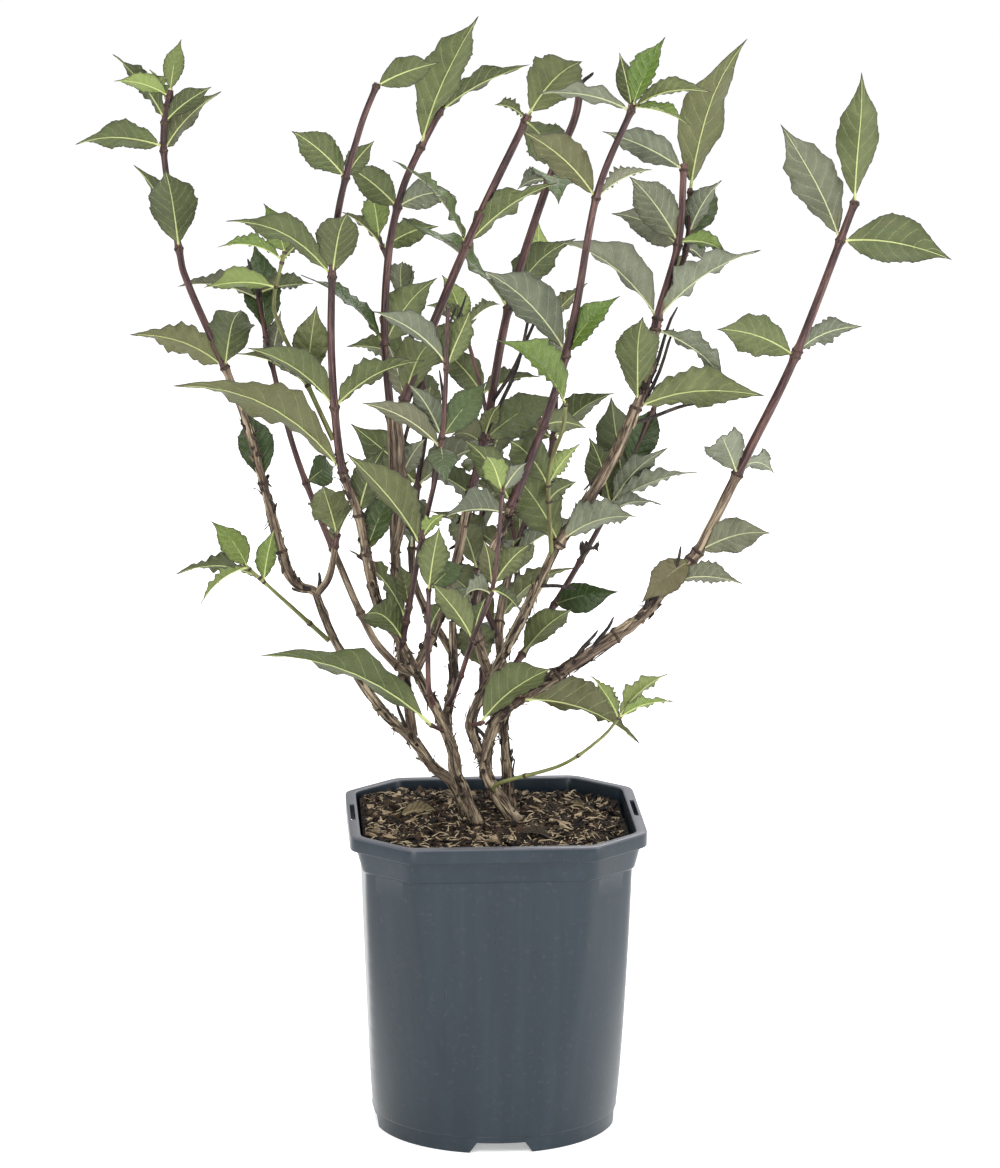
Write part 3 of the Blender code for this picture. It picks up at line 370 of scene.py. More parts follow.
# Slate moulded plastic: a fine orange-peel skin, faint lighter streaks down the sides that are a painted
# sheen, and a paler top to the lip that is dust with a painted highlight
def makePlasticPaint():
    paint = Paint("slatePlastic", roughness=0.40, specular=0.32)
    cloud = paint.noise(9.0, 3.0)
    # Lighter vertical streaks: a painted sheen of reflected light down the sides
    sheenStreak = paint.noise(70.0, 3.0, (1.0, 1.0, 0.04))
    dust = paint.range(paint.noise(240.0, 5.0, roughness=0.7), 0.56, 0.74)
    height = paint.node("ShaderNodeSeparateXYZ", None, [paint.place()], 2)
    # Paler top of the lip: dust with a painted highlight where light falls on it
    lipTopDustAndHighlight = paint.range(height, (pot["height"] - 1.4) * mm, (pot["height"] - 0.4) * mm)
    base = paint.mix(cloud, (0.0092, 0.0165, 0.0232), (0.0122, 0.0215, 0.0300))
    sheenStreaked = paint.mix(paint.range(sheenStreak, 0.45, 0.7) * 0.35, base, (0.022, 0.036, 0.050))
    worn = paint.mix(dust * 0.14, sheenStreaked, (0.11, 0.11, 0.105))
    paint.set("Base Color", paint.mix(lipTopDustAndHighlight * 0.55, worn, (0.125, 0.125, 0.150)))
    paint.set("Roughness", paint.range(cloud + sheenStreak * 0.4, 0.4, 0.9, 0.24, 0.36))
    paint.bump(paint.noise(900.0, 2.0), 0.10, 0.0004)
    return paint


# Compost: a flat crown round the stems, falling to an uneven edge, with a low heap at its back left,
# strewn with bark and fibre
compost = dict(
    crown=200.0, edge=196.5, crownRadius=48.0, fallReach=40.0, wave=1.2, rough=2.0, across=70,
    shoulder=(188.0, 85.0, 99.6), chipTip=0.30, chipRoll=0.42, chipSink=0.3, fibreRings=7, fibreBend=0.22,
    chips=760, chipLength=(3.5, 17.0), chipWidth=(1.4, 5.2), chipThickness=(0.6, 2.0),
    crumbs=1500, crumbSize=(0.8, 2.8), fibres=860, fibreLength=(4.0, 21.0), fibreRadius=(0.22, 0.52),
    heapPlace=(-66.0, 40.0), heapReach=32.0, heapRise=7.0,
    waves=((9.0, 1.3), (11.0, -0.4)), lumps=((3.1, 2.7, 5, 0.8), (1.3, 1.2, 6, 0.45)),
    middleShare=0.012, inFibre=2.0, fibreArch=(0.1, 1.5), fibreTilt=0.16, fibreSlim=0.7, corners=(0.62, 1.12),
)


# Height of the surface: the flat crown, the fall towards the wall, the bell of the heap, and small lumps
def compostHeight(x, y):
    radius = np.hypot(x, y)
    share = np.clip((radius - compost["crownRadius"]) / compost["fallReach"], 0.0, 1.0)
    (wideX, shiftX), (wideY, shiftY) = compost["waves"]
    wave = compost["wave"] * np.sin(x / wideX + shiftX) * np.sin(y / wideY + shiftY)
    lumps = sum(ripple(x / wide, y / deep, seed) * size for wide, deep, seed, size in compost["lumps"])
    heapX, heapY = compost["heapPlace"]
    spread = 2 * compost["heapReach"] ** 2
    heap = np.exp(-((x - heapX) ** 2 + (y - heapY) ** 2) / spread) * compost["heapRise"]
    fall = (compost["edge"] - compost["crown"] + wave) * share
    return compost["crown"] + fall + heap + lumps * compost["rough"]


# Radius of the inner wall at each angle, an inset inside the lip's inner edge
def wallRadius(angle, inset=2.4):
    flat = np.array([pot["rimInnerHalf"] - inset])
    diagonal = np.array([pot["rimInnerDiagonal"] - inset])
    return outlineRadius(angle, flat, diagonal, np.array([pot["noCircle"]]))[0]


# Sections under the surface follow the inner wall; the top is the wall's outline drawn in to the middle
def makeCompost():
    angle = ringAngles(pot["around"])
    below = np.array(innerSections(0.45)[::-1][:-1] + [rimSection(*compost["shoulder"])])
    below[0, 0] += 0.5
    under = outlineRadius(angle, below[:, 1], below[:, 2], below[:, 3])
    wall = wallRadius(angle)
    share = np.linspace(1.0, compost["middleShare"], compost["across"])[:, None] ** 0.9
    x, y = share * wall * np.cos(angle), share * wall * np.sin(angle)
    top = np.stack([x, y, compostHeight(x, y)], -1)
    sides = np.stack([under * np.cos(angle), under * np.sin(angle), under * 0 + below[:, :1]], -1)
    rings = np.concatenate([sides, top])
    poles = np.array([[0, 0, below[0, 0]], [0, 0, compostHeight(np.zeros(1), np.zeros(1))[0]]])
    points = np.concatenate([rings.reshape(-1, 3), poles])
    piece = makePiece("compostBed", points, tubeFaces(len(rings), pot["around"]), compostShadePaint)
    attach(piece, "root")
    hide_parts("compost")


# Places spread evenly over the surface inside the wall
def scatter(count, generator, margin=5.0):
    angle = generator.uniform(0, 2 * np.pi, count)
    reach = np.sqrt(generator.uniform(0.0, 1.0, count)) * (wallRadius(angle) - margin)
    return reach * np.cos(angle), reach * np.sin(angle)


# Bark chips: six-sided slabs with uneven corners, turned about Z and tipped a little
def makeChips(name, count, sizes, paint, seed):
    generator = np.random.default_rng(seed)
    x, y = scatter(count, generator)
    length, width, thickness = [generator.uniform(low, high, count) for low, high in sizes]
    corner = np.array([[a, b, c] for a in (-1, 1) for b in (-1, 1) for c in (-1, 1)], dtype=float)
    grid = corner[None] * np.stack([length, width, thickness], -1)[:, None] / 2
    grid = grid * generator.uniform(*compost["corners"], grid.shape)
    tip = generator.normal(0, compost["chipTip"], count)[:, None]
    roll = generator.normal(0, compost["chipRoll"], count)[:, None]
    turn = generator.uniform(0, np.pi, count)[:, None]
    a, b, c = grid[..., 0], grid[..., 1], grid[..., 2]
    a, c = a * np.cos(tip) - c * np.sin(tip), a * np.sin(tip) + c * np.cos(tip)
    b, c = b * np.cos(roll) - c * np.sin(roll), b * np.sin(roll) + c * np.cos(roll)
    a, b = a * np.cos(turn) - b * np.sin(turn), a * np.sin(turn) + b * np.cos(turn)
    lift = compostHeight(x, y) + thickness * compost["chipSink"]
    points = np.stack([a + x[:, None], b + y[:, None], c + lift[:, None]], -1)
    faces = (blockSides[None] + (np.arange(count) * 8)[:, None, None]).reshape(-1, 4)
    piece = makePiece(name, points, [faces], paint, smooth=False)
    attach(piece, "root")


# Fibres: thin strands that lie on the surface, each a slack arc with a small rise and fall
def makeFibres(name, count, paint, seed):
    generator = np.random.default_rng(seed)
    x, y = scatter(count, generator, 8.0)
    length = generator.uniform(*compost["fibreLength"], count)[:, None]
    radius = generator.uniform(*compost["fibreRadius"], count)[:, None]
    turn = generator.uniform(0, 2 * np.pi, count)[:, None]
    bend = generator.normal(0, compost["fibreBend"], count)[:, None]
    rings = compost["fibreRings"]
    t = np.linspace(-0.5, 0.5, rings)[None]
    heading = turn + bend * t
    px = x[:, None] + np.cumsum(np.cos(heading), 1) * length / rings
    py = y[:, None] + np.cumsum(np.sin(heading), 1) * length / rings
    reach = np.hypot(px, py)
    limit = wallRadius(np.arctan2(py, px).ravel()).reshape(px.shape) - compost["inFibre"]
    px, py = px * np.minimum(1, limit / reach), py * np.minimum(1, limit / reach)
    arch = generator.uniform(*compost["fibreArch"], count)[:, None] * (0.25 - t ** 2) * 4
    arch = arch + generator.normal(0, compost["fibreTilt"], count)[:, None] * length * t
    pz = compostHeight(px, py) + radius + arch
    centres = np.stack([px, py, pz], -1)
    along = unit(np.gradient(centres, axis=1))
    side = unit(np.cross(along, np.array([0, 0, 1.0])))
    width = np.broadcast_to(radius * (1 - (2 * t) ** 4 * compost["fibreSlim"]), px.shape)[..., None]
    points = tubePoints(centres, width, side, np.cross(along, side), 4)
    piece = makePiece(name, points, tubeFaces(rings, 4, count), paint)
    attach(piece, "root")


# Bark chips and straw: two tones of one grain
def litterPaint(name, dark, light):
    paint = Paint(name, roughness=0.85, specular=0.25)
    grain = paint.noise(260.0, 5.0, roughness=0.65)
    paint.set("Base Color", paint.mix(paint.range(grain, 0.35, 0.65), dark, light))
    paint.bump(grain, 0.5, 0.0006)
    return paint


# Bark mould, dark brown and painted near black as shade of the gaps between the chips: three tones by
# coarse grain, with paler specks by fine grain
def makeCompostPaint():
    paint = Paint("barkCompostAndShade", roughness=0.92, specular=0.2)
    coarse = paint.noise(110.0, 6.0, roughness=0.7)
    fine = paint.noise(620.0, 4.0, roughness=0.7)
    # Near black tones: the compost's own dark brown with painted shade of the gaps among the chips
    colour = paint.ramp(coarse, (0.32, (0.002, 0.0015, 0.001)), (0.5, (0.008, 0.005, 0.0035)),
                        (0.66, (0.028, 0.018, 0.011)))
    paint.set("Base Color", paint.mix(paint.range(fine, 0.45, 0.7) * 0.5, colour, (0.045, 0.030, 0.019)))
    paint.bump(coarse * 0.7 + fine * 0.5, 0.9, 0.0016)
    return paint


# Limbs and leaves by name, as in the part's source: routes and leaf rows of distance along the cane,
# heading, rise, length, how the leaf shows itself, and its tone
stemSizes = {
    "stem_far_left": dict(joint="ground", foot=9.6, tip=6.0, route=(
        (-19, 8, 200), (-20, 8, 209), (-27, 9, 224), (-39, 10, 234), (-53, 11, 253), (-74, 14, 274),
        (-102, 19, 317), (-114, 22, 348),
    )),
    "stem_left": dict(joint="ground", foot=10.8, tip=7.0, route=(
        (-12, -8, 200), (-24, -8, 233), (-31, -8, 261), (-60, -10, 321),
    )),
    "stem_middle": dict(joint="side", foot=7.2, tip=6.0, route=(
        (-29, -8, 257), (-30, 6, 268), (-27, 13, 282), (-25, 16, 300), (-26, 16, 329),
    )),
    "stem_right": dict(joint="ground", foot=11.4, tip=8.5, route=(
        (14, -7, 200), (7, -6, 210), (-3, -6, 227), (-6, -6, 239), (-4, -9, 255), (1, -10, 269),
        (11, -8, 279),
    )),
    "stem_thick": dict(joint="side", foot=8.4, tip=7.6, route=(
        (-5, -6, 237), (-12, -7, 253), (-15, -7, 266), (-10, -4, 281), (12, 1, 321), (40, 0, 380),
    )),
    "stem_twin": dict(joint="ground", foot=8.6, tip=6.6, route=(
        (12, 14, 200), (8, 12, 248), (7, 14, 262), (11, 20, 273),
    )),
}

caneSizes = {
    "left_tall": dict(foot=6.0, tip=3.8, nodes=(("bough_left_tall", 66), ("leaves_left_tall", 345)), route=(
        (-114, 22, 348), (-132, 25, 364), (-159, 32, 463), (-192, 38, 543), (-199, 40, 569), (-208, 44, 634),
        (-203, 46, 670),
    ), leaves=(
        (83, 105, 50, 52, "topWide", "dark"), (161, -175, 20, 65, "half", "old"),
        (161, -80, 45, 63, "wide", "old"), (161, 115, 20, 40, "topHalf", "dark"),
        (243, -100, 55, 68, "wide", "old"), (243, 141, 55, 63, "slim", "old"),
        (306, 28, 40, 55, "half", "old"), (309, -170, 5, 56, "half", "old"),
        (324, -20, 35, 40, "half", "old"), (326, 165, 50, 53, "slim", "old"),
        (335, 130, 50, 28, "slim", "young"), (341, 199, 18, 38, "half", "young"),
        (344, 45, 75, 34, "topHalf", "young"),
    )),
    "left_inner": dict(foot=5.2, tip=3.6, nodes=(("leaves_left_inner", 47),), route=(
        (-113, 22, 347), (-105, 16, 360), (-100, 8, 389),
    ), leaves=(
        (38, 60, 35, 42, "slim", "dark"), (46, -106, 45, 55, "wide", "old"),
    )),
    "left_shoot": dict(foot=3.2, tip=2.0, nodes=(("leaves_left_shoot", 83),), route=(
        (-106, 18, 317), (-159, -12, 373),
    ), leaves=(
        (65, 55, 70, 35, "half", "young"), (69, 170, 0, 54, "slim", "old"),
        (79, 150, 10, 28, "slim", "young"), (81, -165, 55, 39, "topWide", "young"),
        (81, -140, -25, 43, "slim", "young"),
    )),
    "left_grey": dict(foot=5.2, tip=3.0, nodes=(("bough_left_grey", 140), ("leaves_left_grey", 293)), route=(
        (-50, -9, 300), (-58, 0, 301), (-66, 8, 306), (-79, 22, 321), (-99, 40, 365), (-127, 54, 438),
        (-146, 64, 519), (-148, 66, 542),
    ), leaves=(
        (155, 65, 5, 44, "topWide", "dark"), (236, 65, 60, 36, "half", "grey"),
        (253, 100, 62, 65, "topHalf", "dark"), (278, -180, 10, 53, "slim", "grey"),
        (282, -9, 8, 36, "half", "dark"),
    )),
    "left_front": dict(foot=6.2, tip=3.8,
        nodes=(("bough_left_front", 54), ("leaves_left_front", 378)), route=(
        (-60, -10, 321), (-76, -10, 349), (-87, -14, 405), (-97, -16, 435), (-102, -24, 477),
        (-104, -34, 534), (-100, -44, 599), (-86, -54, 655), (-75, -58, 684),
    ), leaves=(
        (64, 35, 60, 49, "topHalf", "dark"), (90, 35, 65, 48, "wide", "old"),
        (120, -165, 30, 125, "slim", "old"), (164, -165, 35, 70, "slim", "old"),
        (164, -20, 30, 67, "slim", "old"), (250, -170, 30, 76, "slim", "old"),
        (250, -80, 50, 60, "wide", "old"), (315, -155, 40, 48, "wide", "old"),
        (315, 30, 45, 30, "wide", "old"), (376, -10, 20, 42, "wide", "old"),
    )),
    "left_thin": dict(foot=3.4, tip=2.2, nodes=(("leaves_left_thin", 129),), route=(
        (-103, -20, 455), (-124, -6, 500), (-137, -2, 528), (-139, 0, 544), (-132, 0, 573),
    ), leaves=(
        (38, -155, 25, 56, "slim", "old"), (40, -45, 80, 51, "wide", "old"),
        (105, -165, 0, 47, "half", "young"), (121, 45, 25, 31, "half", "old"),
        (123, 170, 10, 42, "slim", "young"), (128, -125, 60, 39, "topWide", "young"),
    )),
    "centre_left_foot": dict(foot=7.0, tip=6.0, nodes=(("bough_centre_left_foot", 132),), route=(
        (-52, 12, 254), (-56, 22, 288), (-59, 24, 309), (-63, 26, 384),
    )),
    "centre_left": dict(foot=6.0, tip=4.4,
        nodes=(("bough_centre_left", 110), ("leaves_centre_left", 280)), route=(
        (-63, 26, 384), (-64, 32, 452), (-68, 40, 511), (-65, 44, 564), (-58, 46, 598), (-49, 48, 622),
        (-30, 50, 658),
    ), leaves=(
        (123, -175, 40, 71, "topSlim", "dark"), (123, 35, 45, 58, "wide", "old"),
        (212, 155, 35, 46, "wide", "old"), (212, -30, 15, 43, "wide", "grey"),
        (253, -48, 57, 103, "slim", "old"), (278, 10, 25, 66, "slim", "old"),
    )),
    "centre_tall": dict(foot=6.6, tip=4.8,
        nodes=(("bough_centre_tall", 44), ("leaves_centre_tall", 311)), route=(
        (-63, 26, 373), (-58, 14, 403), (-60, 4, 448), (-57, 0, 477), (-18, -16, 578), (20, -30, 661),
    ), leaves=(
        (56, 45, 45, 32, "wide", "grey"), (109, -68, 47, 60, "wide", "old"),
        (109, 115, 55, 40, "half", "grey"), (218, -170, 50, 73, "topSlim", "old"),
        (218, -15, 37, 70, "slim", "old"), (306, -72, -24, 58, "wide", "dark"),
        (307, 120, 10, 36, "half", "old"), (309, -60, 33, 72, "wide", "old"),
    )),
    "centre_back": dict(foot=6.4, tip=5.0,
        nodes=(("bough_centre_back", 152), ("leaves_centre_back", 407)), route=(
        (-50, -9, 304), (-41, 10, 318), (-33, 24, 334), (-22, 42, 363), (-14, 56, 396), (-2, 66, 441),
        (14, 78, 523), (41, 90, 605), (58, 96, 644), (62, 98, 667),
    ), leaves=(
        (166, 12, 30, 57, "topWide", "dark"), (166, -65, 55, 33, "half", "old"),
        (253, -165, 40, 94, "topSlim", "old"), (253, 31, 40, 68, "half", "old"),
        (340, -88, -6, 66, "wide", "old"), (340, 120, -15, 37, "half", "grey"),
    )),
    "centre_front": dict(foot=6.8, tip=4.0,
        nodes=(("bough_centre_front", 112), ("leaves_centre_front", 407)), route=(
        (-3, 2, 296), (-10, -10, 319), (-13, -18, 340), (-10, -24, 364), (9, -36, 414), (35, -54, 489),
        (47, -66, 543), (59, -82, 618), (80, -96, 674),
    ), leaves=(
        (124, -140, 5, 56, "half", "grey"), (130, -155, 55, 57, "half", "old"),
        (188, 35, -10, 35, "wide", "dark"), (237, -7, 50, 51, "topHalf", "young"),
        (239, -165, 45, 78, "half", "grey"), (342, -160, 40, 67, "half", "old"),
        (342, 15, 25, 40, "slim", "grey"), (402, -175, 10, 59, "slim", "grey"),
        (404, 130, 70, 35, "half", "old"), (404, -10, 10, 50, "slim", "old"),
        (405, -14, 63, 47, "topHalf", "young"), (405, -25, -15, 38, "topSlim", "young"),
    )),
    "thick": dict(foot=7.6, tip=4.2,
        nodes=(("leaves_thick_low", 16), ("bough_thick", 92), ("leaves_thick_top", 263)), route=(
        (40, 0, 380), (72, 6, 428), (98, 13, 484), (106, 18, 525), (120, 28, 573), (124, 36, 622),
    ), leaves=(
        (3, -140, 50, 70, "wide", "old"), (3, -35, 20, 64, "half", "grey"), (103, -15, 5, 84, "half", "old"),
        (106, -95, 60, 71, "half", "old"), (155, -15, -35, 58, "slim", "grey"),
        (162, -170, 40, 84, "slim", "grey"), (162, -5, 35, 79, "slim", "grey"),
        (211, 145, 20, 52, "wide", "grey"), (213, -152, 50, 58, "wide", "grey"),
        (213, -22, -10, 34, "half", "young"), (259, -170, 25, 60, "half", "grey"),
    )),
    "thick_side": dict(foot=4.2, tip=3.0, nodes=(("leaves_thick_side", 79),), route=(
        (110, 20, 537), (119, 30, 547), (127, 40, 572), (129, 46, 605),
    ), leaves=(
        (15, 66, 30, 31, "half", "young"), (39, 60, -25, 33, "half", "grey"),
        (45, 56, 45, 49, "topWide", "dark"), (48, -25, 60, 43, "half", "grey"),
        (76, -28, 72, 106, "slim", "old"),
    )),
    "right_back": dict(foot=4.8, tip=2.6,
        nodes=(("bough_right_back", 30), ("leaves_right_back", 235)), route=(
        (-4, 2, 293), (5, 12, 288), (42, 44, 333), (81, 76, 392), (112, 94, 456),
    ), leaves=(
        (43, -45, 40, 57, "half", "old"), (84, -25, 15, 46, "topWide", "dark"),
        (119, -70, 20, 34, "slim", "dried"), (155, -45, 15, 49, "slim", "grey"),
        (162, -140, 70, 51, "wide", "old"), (162, -35, 45, 60, "slim", "grey"),
        (162, -15, 22, 63, "slim", "grey"), (180, -150, 80, 58, "wide", "dark"),
        (189, 35, 55, 48, "topWide", "dark"), (232, 35, 45, 27, "wide", "old"),
    )),
    "bright_shoot": dict(foot=3.2, tip=2.4, nodes=(("leaves_bright_shoot", 130),), route=(
        (37, 0, 374), (33, -30, 432), (40, -56, 467), (41, -66, 485),
    ), leaves=(
        (45, 52, 10, 33, "wide", "dark"), (58, 15, 50, 33, "half", "young"),
        (58, -132, 40, 53, "wide", "old"), (129, -165, 45, 63, "topHalf", "young"),
    )),
    "right_foot": dict(foot=8.4, tip=7.0, nodes=(("bough_right_foot", 127),), route=(
        (11, -8, 279), (89, 10, 326), (112, 14, 350),
    )),
    "right_tall": dict(foot=7.0, tip=4.8,
        nodes=(("leaves_right_low", 112), ("leaves_right_top", 281)), route=(
        (112, 14, 350), (132, 18, 371), (142, 20, 389), (167, 26, 438), (196, 28, 498), (232, 16, 600),
    ), leaves=(
        (5, -20, 0, 48, "half", "grey"), (24, -145, -30, 47, "topWide", "dying"),
        (31, -26, 20, 52, "wide", "grey"), (87, -110, 35, 58, "wide", "grey"),
        (90, 55, -10, 50, "half", "grey"), (172, -160, 20, 60, "wide", "old"),
        (176, 20, 15, 48, "half", "grey"), (253, -170, 60, 86, "half", "grey"),
        (253, -10, -10, 72, "wide", "old"), (279, -60, 82, 85, "slim", "old"),
    )),
    "middle_front": dict(foot=4.0, tip=2.6, nodes=(("leaves_middle_front", 245),), route=(
        (-60, -10, 317), (-48, -40, 394), (-36, -64, 463), (-33, -82, 548),
    ), leaves=(
        (7, -120, 30, 54, "wide", "old"), (21, 150, 45, 59, "slim", "old"),
        (32, 115, 66, 29, "topWide", "dark"), (77, 100, 45, 42, "topHalf", "dark"),
        (80, -165, 50, 79, "slim", "old"), (84, -63, 37, 35, "slim", "young"),
        (151, -165, 30, 61, "slim", "grey"), (151, -90, -20, 46, "topHalf", "grey"),
        (158, -160, 60, 42, "half", "grey"), (158, 20, 45, 45, "topWide", "dark"),
        (204, -15, 65, 41, "wide", "old"), (208, -165, 35, 59, "slim", "grey"),
    )),
    "middle_short": dict(foot=3.8, tip=2.8, nodes=(("leaves_middle_short", 98),), route=(
        (-38, -8, 275), (-43, -18, 295), (-44, -48, 364),
    ), leaves=(
        (61, 55, 40, 31, "half", "old"), (97, -55, 75, 44, "wide", "old"),
        (97, 45, 20, 35, "topWide", "dark"),
    )),
    "middle_right": dict(foot=3.6, tip=2.4,
        nodes=(("bough_middle_right", 68), ("leaves_middle_right", 206)), route=(
        (-29, 9, 275), (-24, -6, 291), (-16, -50, 332), (-5, -84, 375), (-1, -108, 439),
    ), leaves=(
        (82, -150, 50, 51, "half", "old"), (84, 65, 45, 31, "half", "old"),
        (130, -120, 5, 41, "half", "grey"), (133, -60, -15, 35, "half", "old"),
        (135, 110, 70, 31, "wide", "old"), (138, -20, 50, 36, "wide", "old"),
        (205, -115, 50, 36, "wide", "young"), (205, -26, 53, 26, "wide", "grey"),
    )),
    "low_shoot": dict(foot=2.8, tip=1.8, nodes=(("leaves_low_shoot", 132),), route=(
        (2, -6, 217), (2, -14, 228), (40, -44, 247), (63, -66, 269), (75, -80, 287),
    ), leaves=(
        (130, -30, 20, 42, "slim", "young"), (130, -20, 45, 44, "slim", "young"),
        (130, 160, 55, 32, "slim", "young"),
    )),
    "low_left": dict(foot=3.0, tip=2.4, nodes=(("leaves_low_left", 18),), route=(
        (-31, -8, 261), (-42, -20, 269),
    ), leaves=(
        (17, -165, 25, 128, "slim", "old"),
    )),
    "low_right": dict(foot=3.0, tip=2.4, nodes=(("leaves_low_right", 18),), route=(
        (-16, -4, 264), (-8, -24, 271),
    ), leaves=(
        (17, -41, 35, 75, "half", "old"),
    )),
    "low_far_right": dict(foot=3.0, tip=2.4, nodes=(("leaves_low_far_right", 18),), route=(
        (10, -8, 280), (14, -18, 285), (19, -22, 285),
    ), leaves=(
        (17, -25, -15, 82, "half", "old"),
    )),
}

backCaneSizes = {
    "back_right": dict(on=("stem_twin",), start=82, heading=78, reach=165,
        height=530, foot=6.6, bough=96, seed=3),
    "back_left": dict(on=("stem_middle",), start=58, heading=104, reach=150,
        height=560, foot=5.4, bough=70, seed=8),
    "back_middle": dict(on=("bough_back_right",), start=50, heading=98, reach=100,
        height=500, foot=4.6, bough=40, seed=14),
    "back_low": dict(on=("stem_twin",), start=52, heading=88, reach=160,
        height=400, foot=4.2, bough=52, seed=21),
}


# Rules shared by every limb and leaf
growth = dict(
    flare=0.15, flareHeight=15.0, backTip=2.4, backBow=0.10, backSteps=6,
    pairStep=(36, 46), pairRise=(15, 48), pairLength=(78, 40), pairStart=14.0, pairSwing=15,
    nodeStep=46, nodeFoot=8, bareFrom=60, nodeGap=3, arch=(0.02, 0.06), droop=(0.05, 0.10), fold=(8, 16),
)
# How a leaf shows itself: the blade's turn about its length, and its width over its length
leafFaces = {
    "wide": (88, 0.45), "half": (62, 0.38), "slim": (40, 0.33),
    "topWide": (-84, 0.45), "topHalf": (-40, 0.39), "topSlim": (-14, 0.35),
}


# A smooth route: each stretch is the cubic through its four nearest points, then even steps are read
class Limb:
    def __init__(self, route, foot, tip, flare=0.0):
        points = np.array(route, dtype=float)
        points = np.vstack([2 * points[0] - points[1], points, 2 * points[-1] - points[-2]])
        t = np.linspace(0, 1, 40, endpoint=False)[None, :, None]
        a, b, c, d = (points[i:len(points) - 3 + i, None] for i in range(4))
        curve = 2 * b + (c - a) * t + (2 * a - 5 * b + 4 * c - d) * t ** 2 + (3 * b - a - 3 * c + d) * t ** 3
        self.curve = np.vstack([curve.reshape(-1, 3) / 2, points[-2]])
        steps = np.linalg.norm(np.diff(self.curve, axis=0), axis=1)
        self.distances = np.concatenate(([0.0], np.cumsum(steps)))
        self.length = self.distances[-1]
        self.foot, self.tip, self.flare = foot / 2, tip / 2, flare

    def at(self, distance):
        return np.stack([np.interp(distance, self.distances, self.curve[:, i]) for i in range(3)], -1)

    def along(self, distance):
        return unit(self.at(np.minimum(distance + 1.5, self.length)) - self.at(np.maximum(distance - 1.5, 0)))

    def radius(self, distance):
        plain = self.foot + (self.tip - self.foot) * np.clip(distance / self.length, 0, 1)
        return plain * (1 + self.flare * np.maximum(0.0, 1 - distance / growth["flareHeight"]) ** 2)


# A back cane by rule: a bowed route, then opposite pairs, each a quarter turn from the last
def backCane(name, sizes, carrier):
    chance = random.Random(sizes["seed"])
    start = carrier.at(np.array(float(sizes["start"])))
    heading = math.radians(sizes["heading"])
    out = np.array([math.cos(heading), math.sin(heading), 0.0])
    across = np.array([-out[1], out[0], 0.0])
    route = []
    for step in range(growth["backSteps"]):
        t = step / (growth["backSteps"] - 1)
        bow = growth["backBow"] * sizes["reach"] * math.sin(2.2 * math.pi * t) * chance.uniform(0.6, 1.0)
        point = start + out * (sizes["reach"] * t ** 0.8) + across * bow
        route.append((point[0], point[1], start[2] + (sizes["height"] - start[2]) * t ** 1.1))
    limb = Limb(route, sizes["foot"], growth["backTip"])
    leaves = []
    along = sizes["bough"] + growth["pairStart"]
    heading = chance.uniform(0, 90)
    tones = random.Random(name)
    while along < limb.length:
        low, high = growth["pairLength"]
        length = low + (high - low) * along / limb.length
        for turn in (0, 180):
            face = chance.choice(("wide", "half", "half", "slim"))
            size = length * chance.uniform(0.85, 1.1)
            tone = tones.choice(("old", "old", "grey", "dark"))
            leaves.append((along, heading + turn, chance.uniform(*growth["pairRise"]), size, face, tone))
        heading += 90 + chance.uniform(-growth["pairSwing"], growth["pairSwing"])
        along += chance.uniform(*growth["pairStep"])
    leaves.append((limb.length - 1.5, heading, 60, growth["pairLength"][1], "wide", "young"))
    nodes = (("bough_" + name, sizes["bough"]), ("leaves_" + name, limb.length))
    return dict(nodes=nodes, leaves=leaves), limb


# Every limb by name, with the canes' nodes and rows of leaves
def growPlant():
    stems = {
        name: Limb(stem["route"], stem["foot"], stem["tip"], growth["flare"] * (stem["joint"] == "ground"))
        for name, stem in stemSizes.items()
    }
    canes = {name: (cane, Limb(cane["route"], cane["foot"], cane["tip"])) for name, cane in caneSizes.items()}
    owners = dict(stems)
    for name, sizes in backCaneSizes.items():
        canes[name] = backCane(name, sizes, owners[sizes["on"][0]])
        owners["bough_" + name] = canes[name][1]
    return stems, canes


# The limb's way, a side square to it that faces the front, and their cross product
def limbAxes(limb, distance):
    along = limb.along(distance)
    side = unit(np.array([0.0, -1.0, 0.0]) + along * along[..., 1:2])
    return along, side, np.cross(along, side)


# Where a cane has nodes: at its leaves, and every so often below them
def nodePlaces(cane, limb):
    leafy = sorted({round(row[0]) for row in cane.get("leaves", ())})
    first = leafy[0] if leafy else limb.length
    step, gap = growth["nodeStep"], growth["nodeGap"]
    bare = list(np.arange(first - step, growth["nodeFoot"], -step)) if first > growth["bareFrom"] else []
    places = sorted(bare + leafy)
    kept = [place for index, place in enumerate(places) if index == 0 or place - places[index - 1] > gap]
    return np.array(kept, dtype=float)


# Cane surface: the tapered radius, fuller at the nodes and waisted above them, with fine ridges. A cane
# is woody at its foot and smoother beyond, and the two lengths meet under a collar
caneSkin = dict(
    sides=14, step=2.2, swell=0.30, swellReach=2.6, ridge=0.05, woodRidge=0.14, ridgeReach=8.0,
    woodyFrom=4.9, freshBelow=3.5, shortest=4, woodShare=0.34,
    woodShares={"right_foot": 1.0, "centre_left_foot": 1.0, "thick": 0.52, "left_tall": 0.42},
)


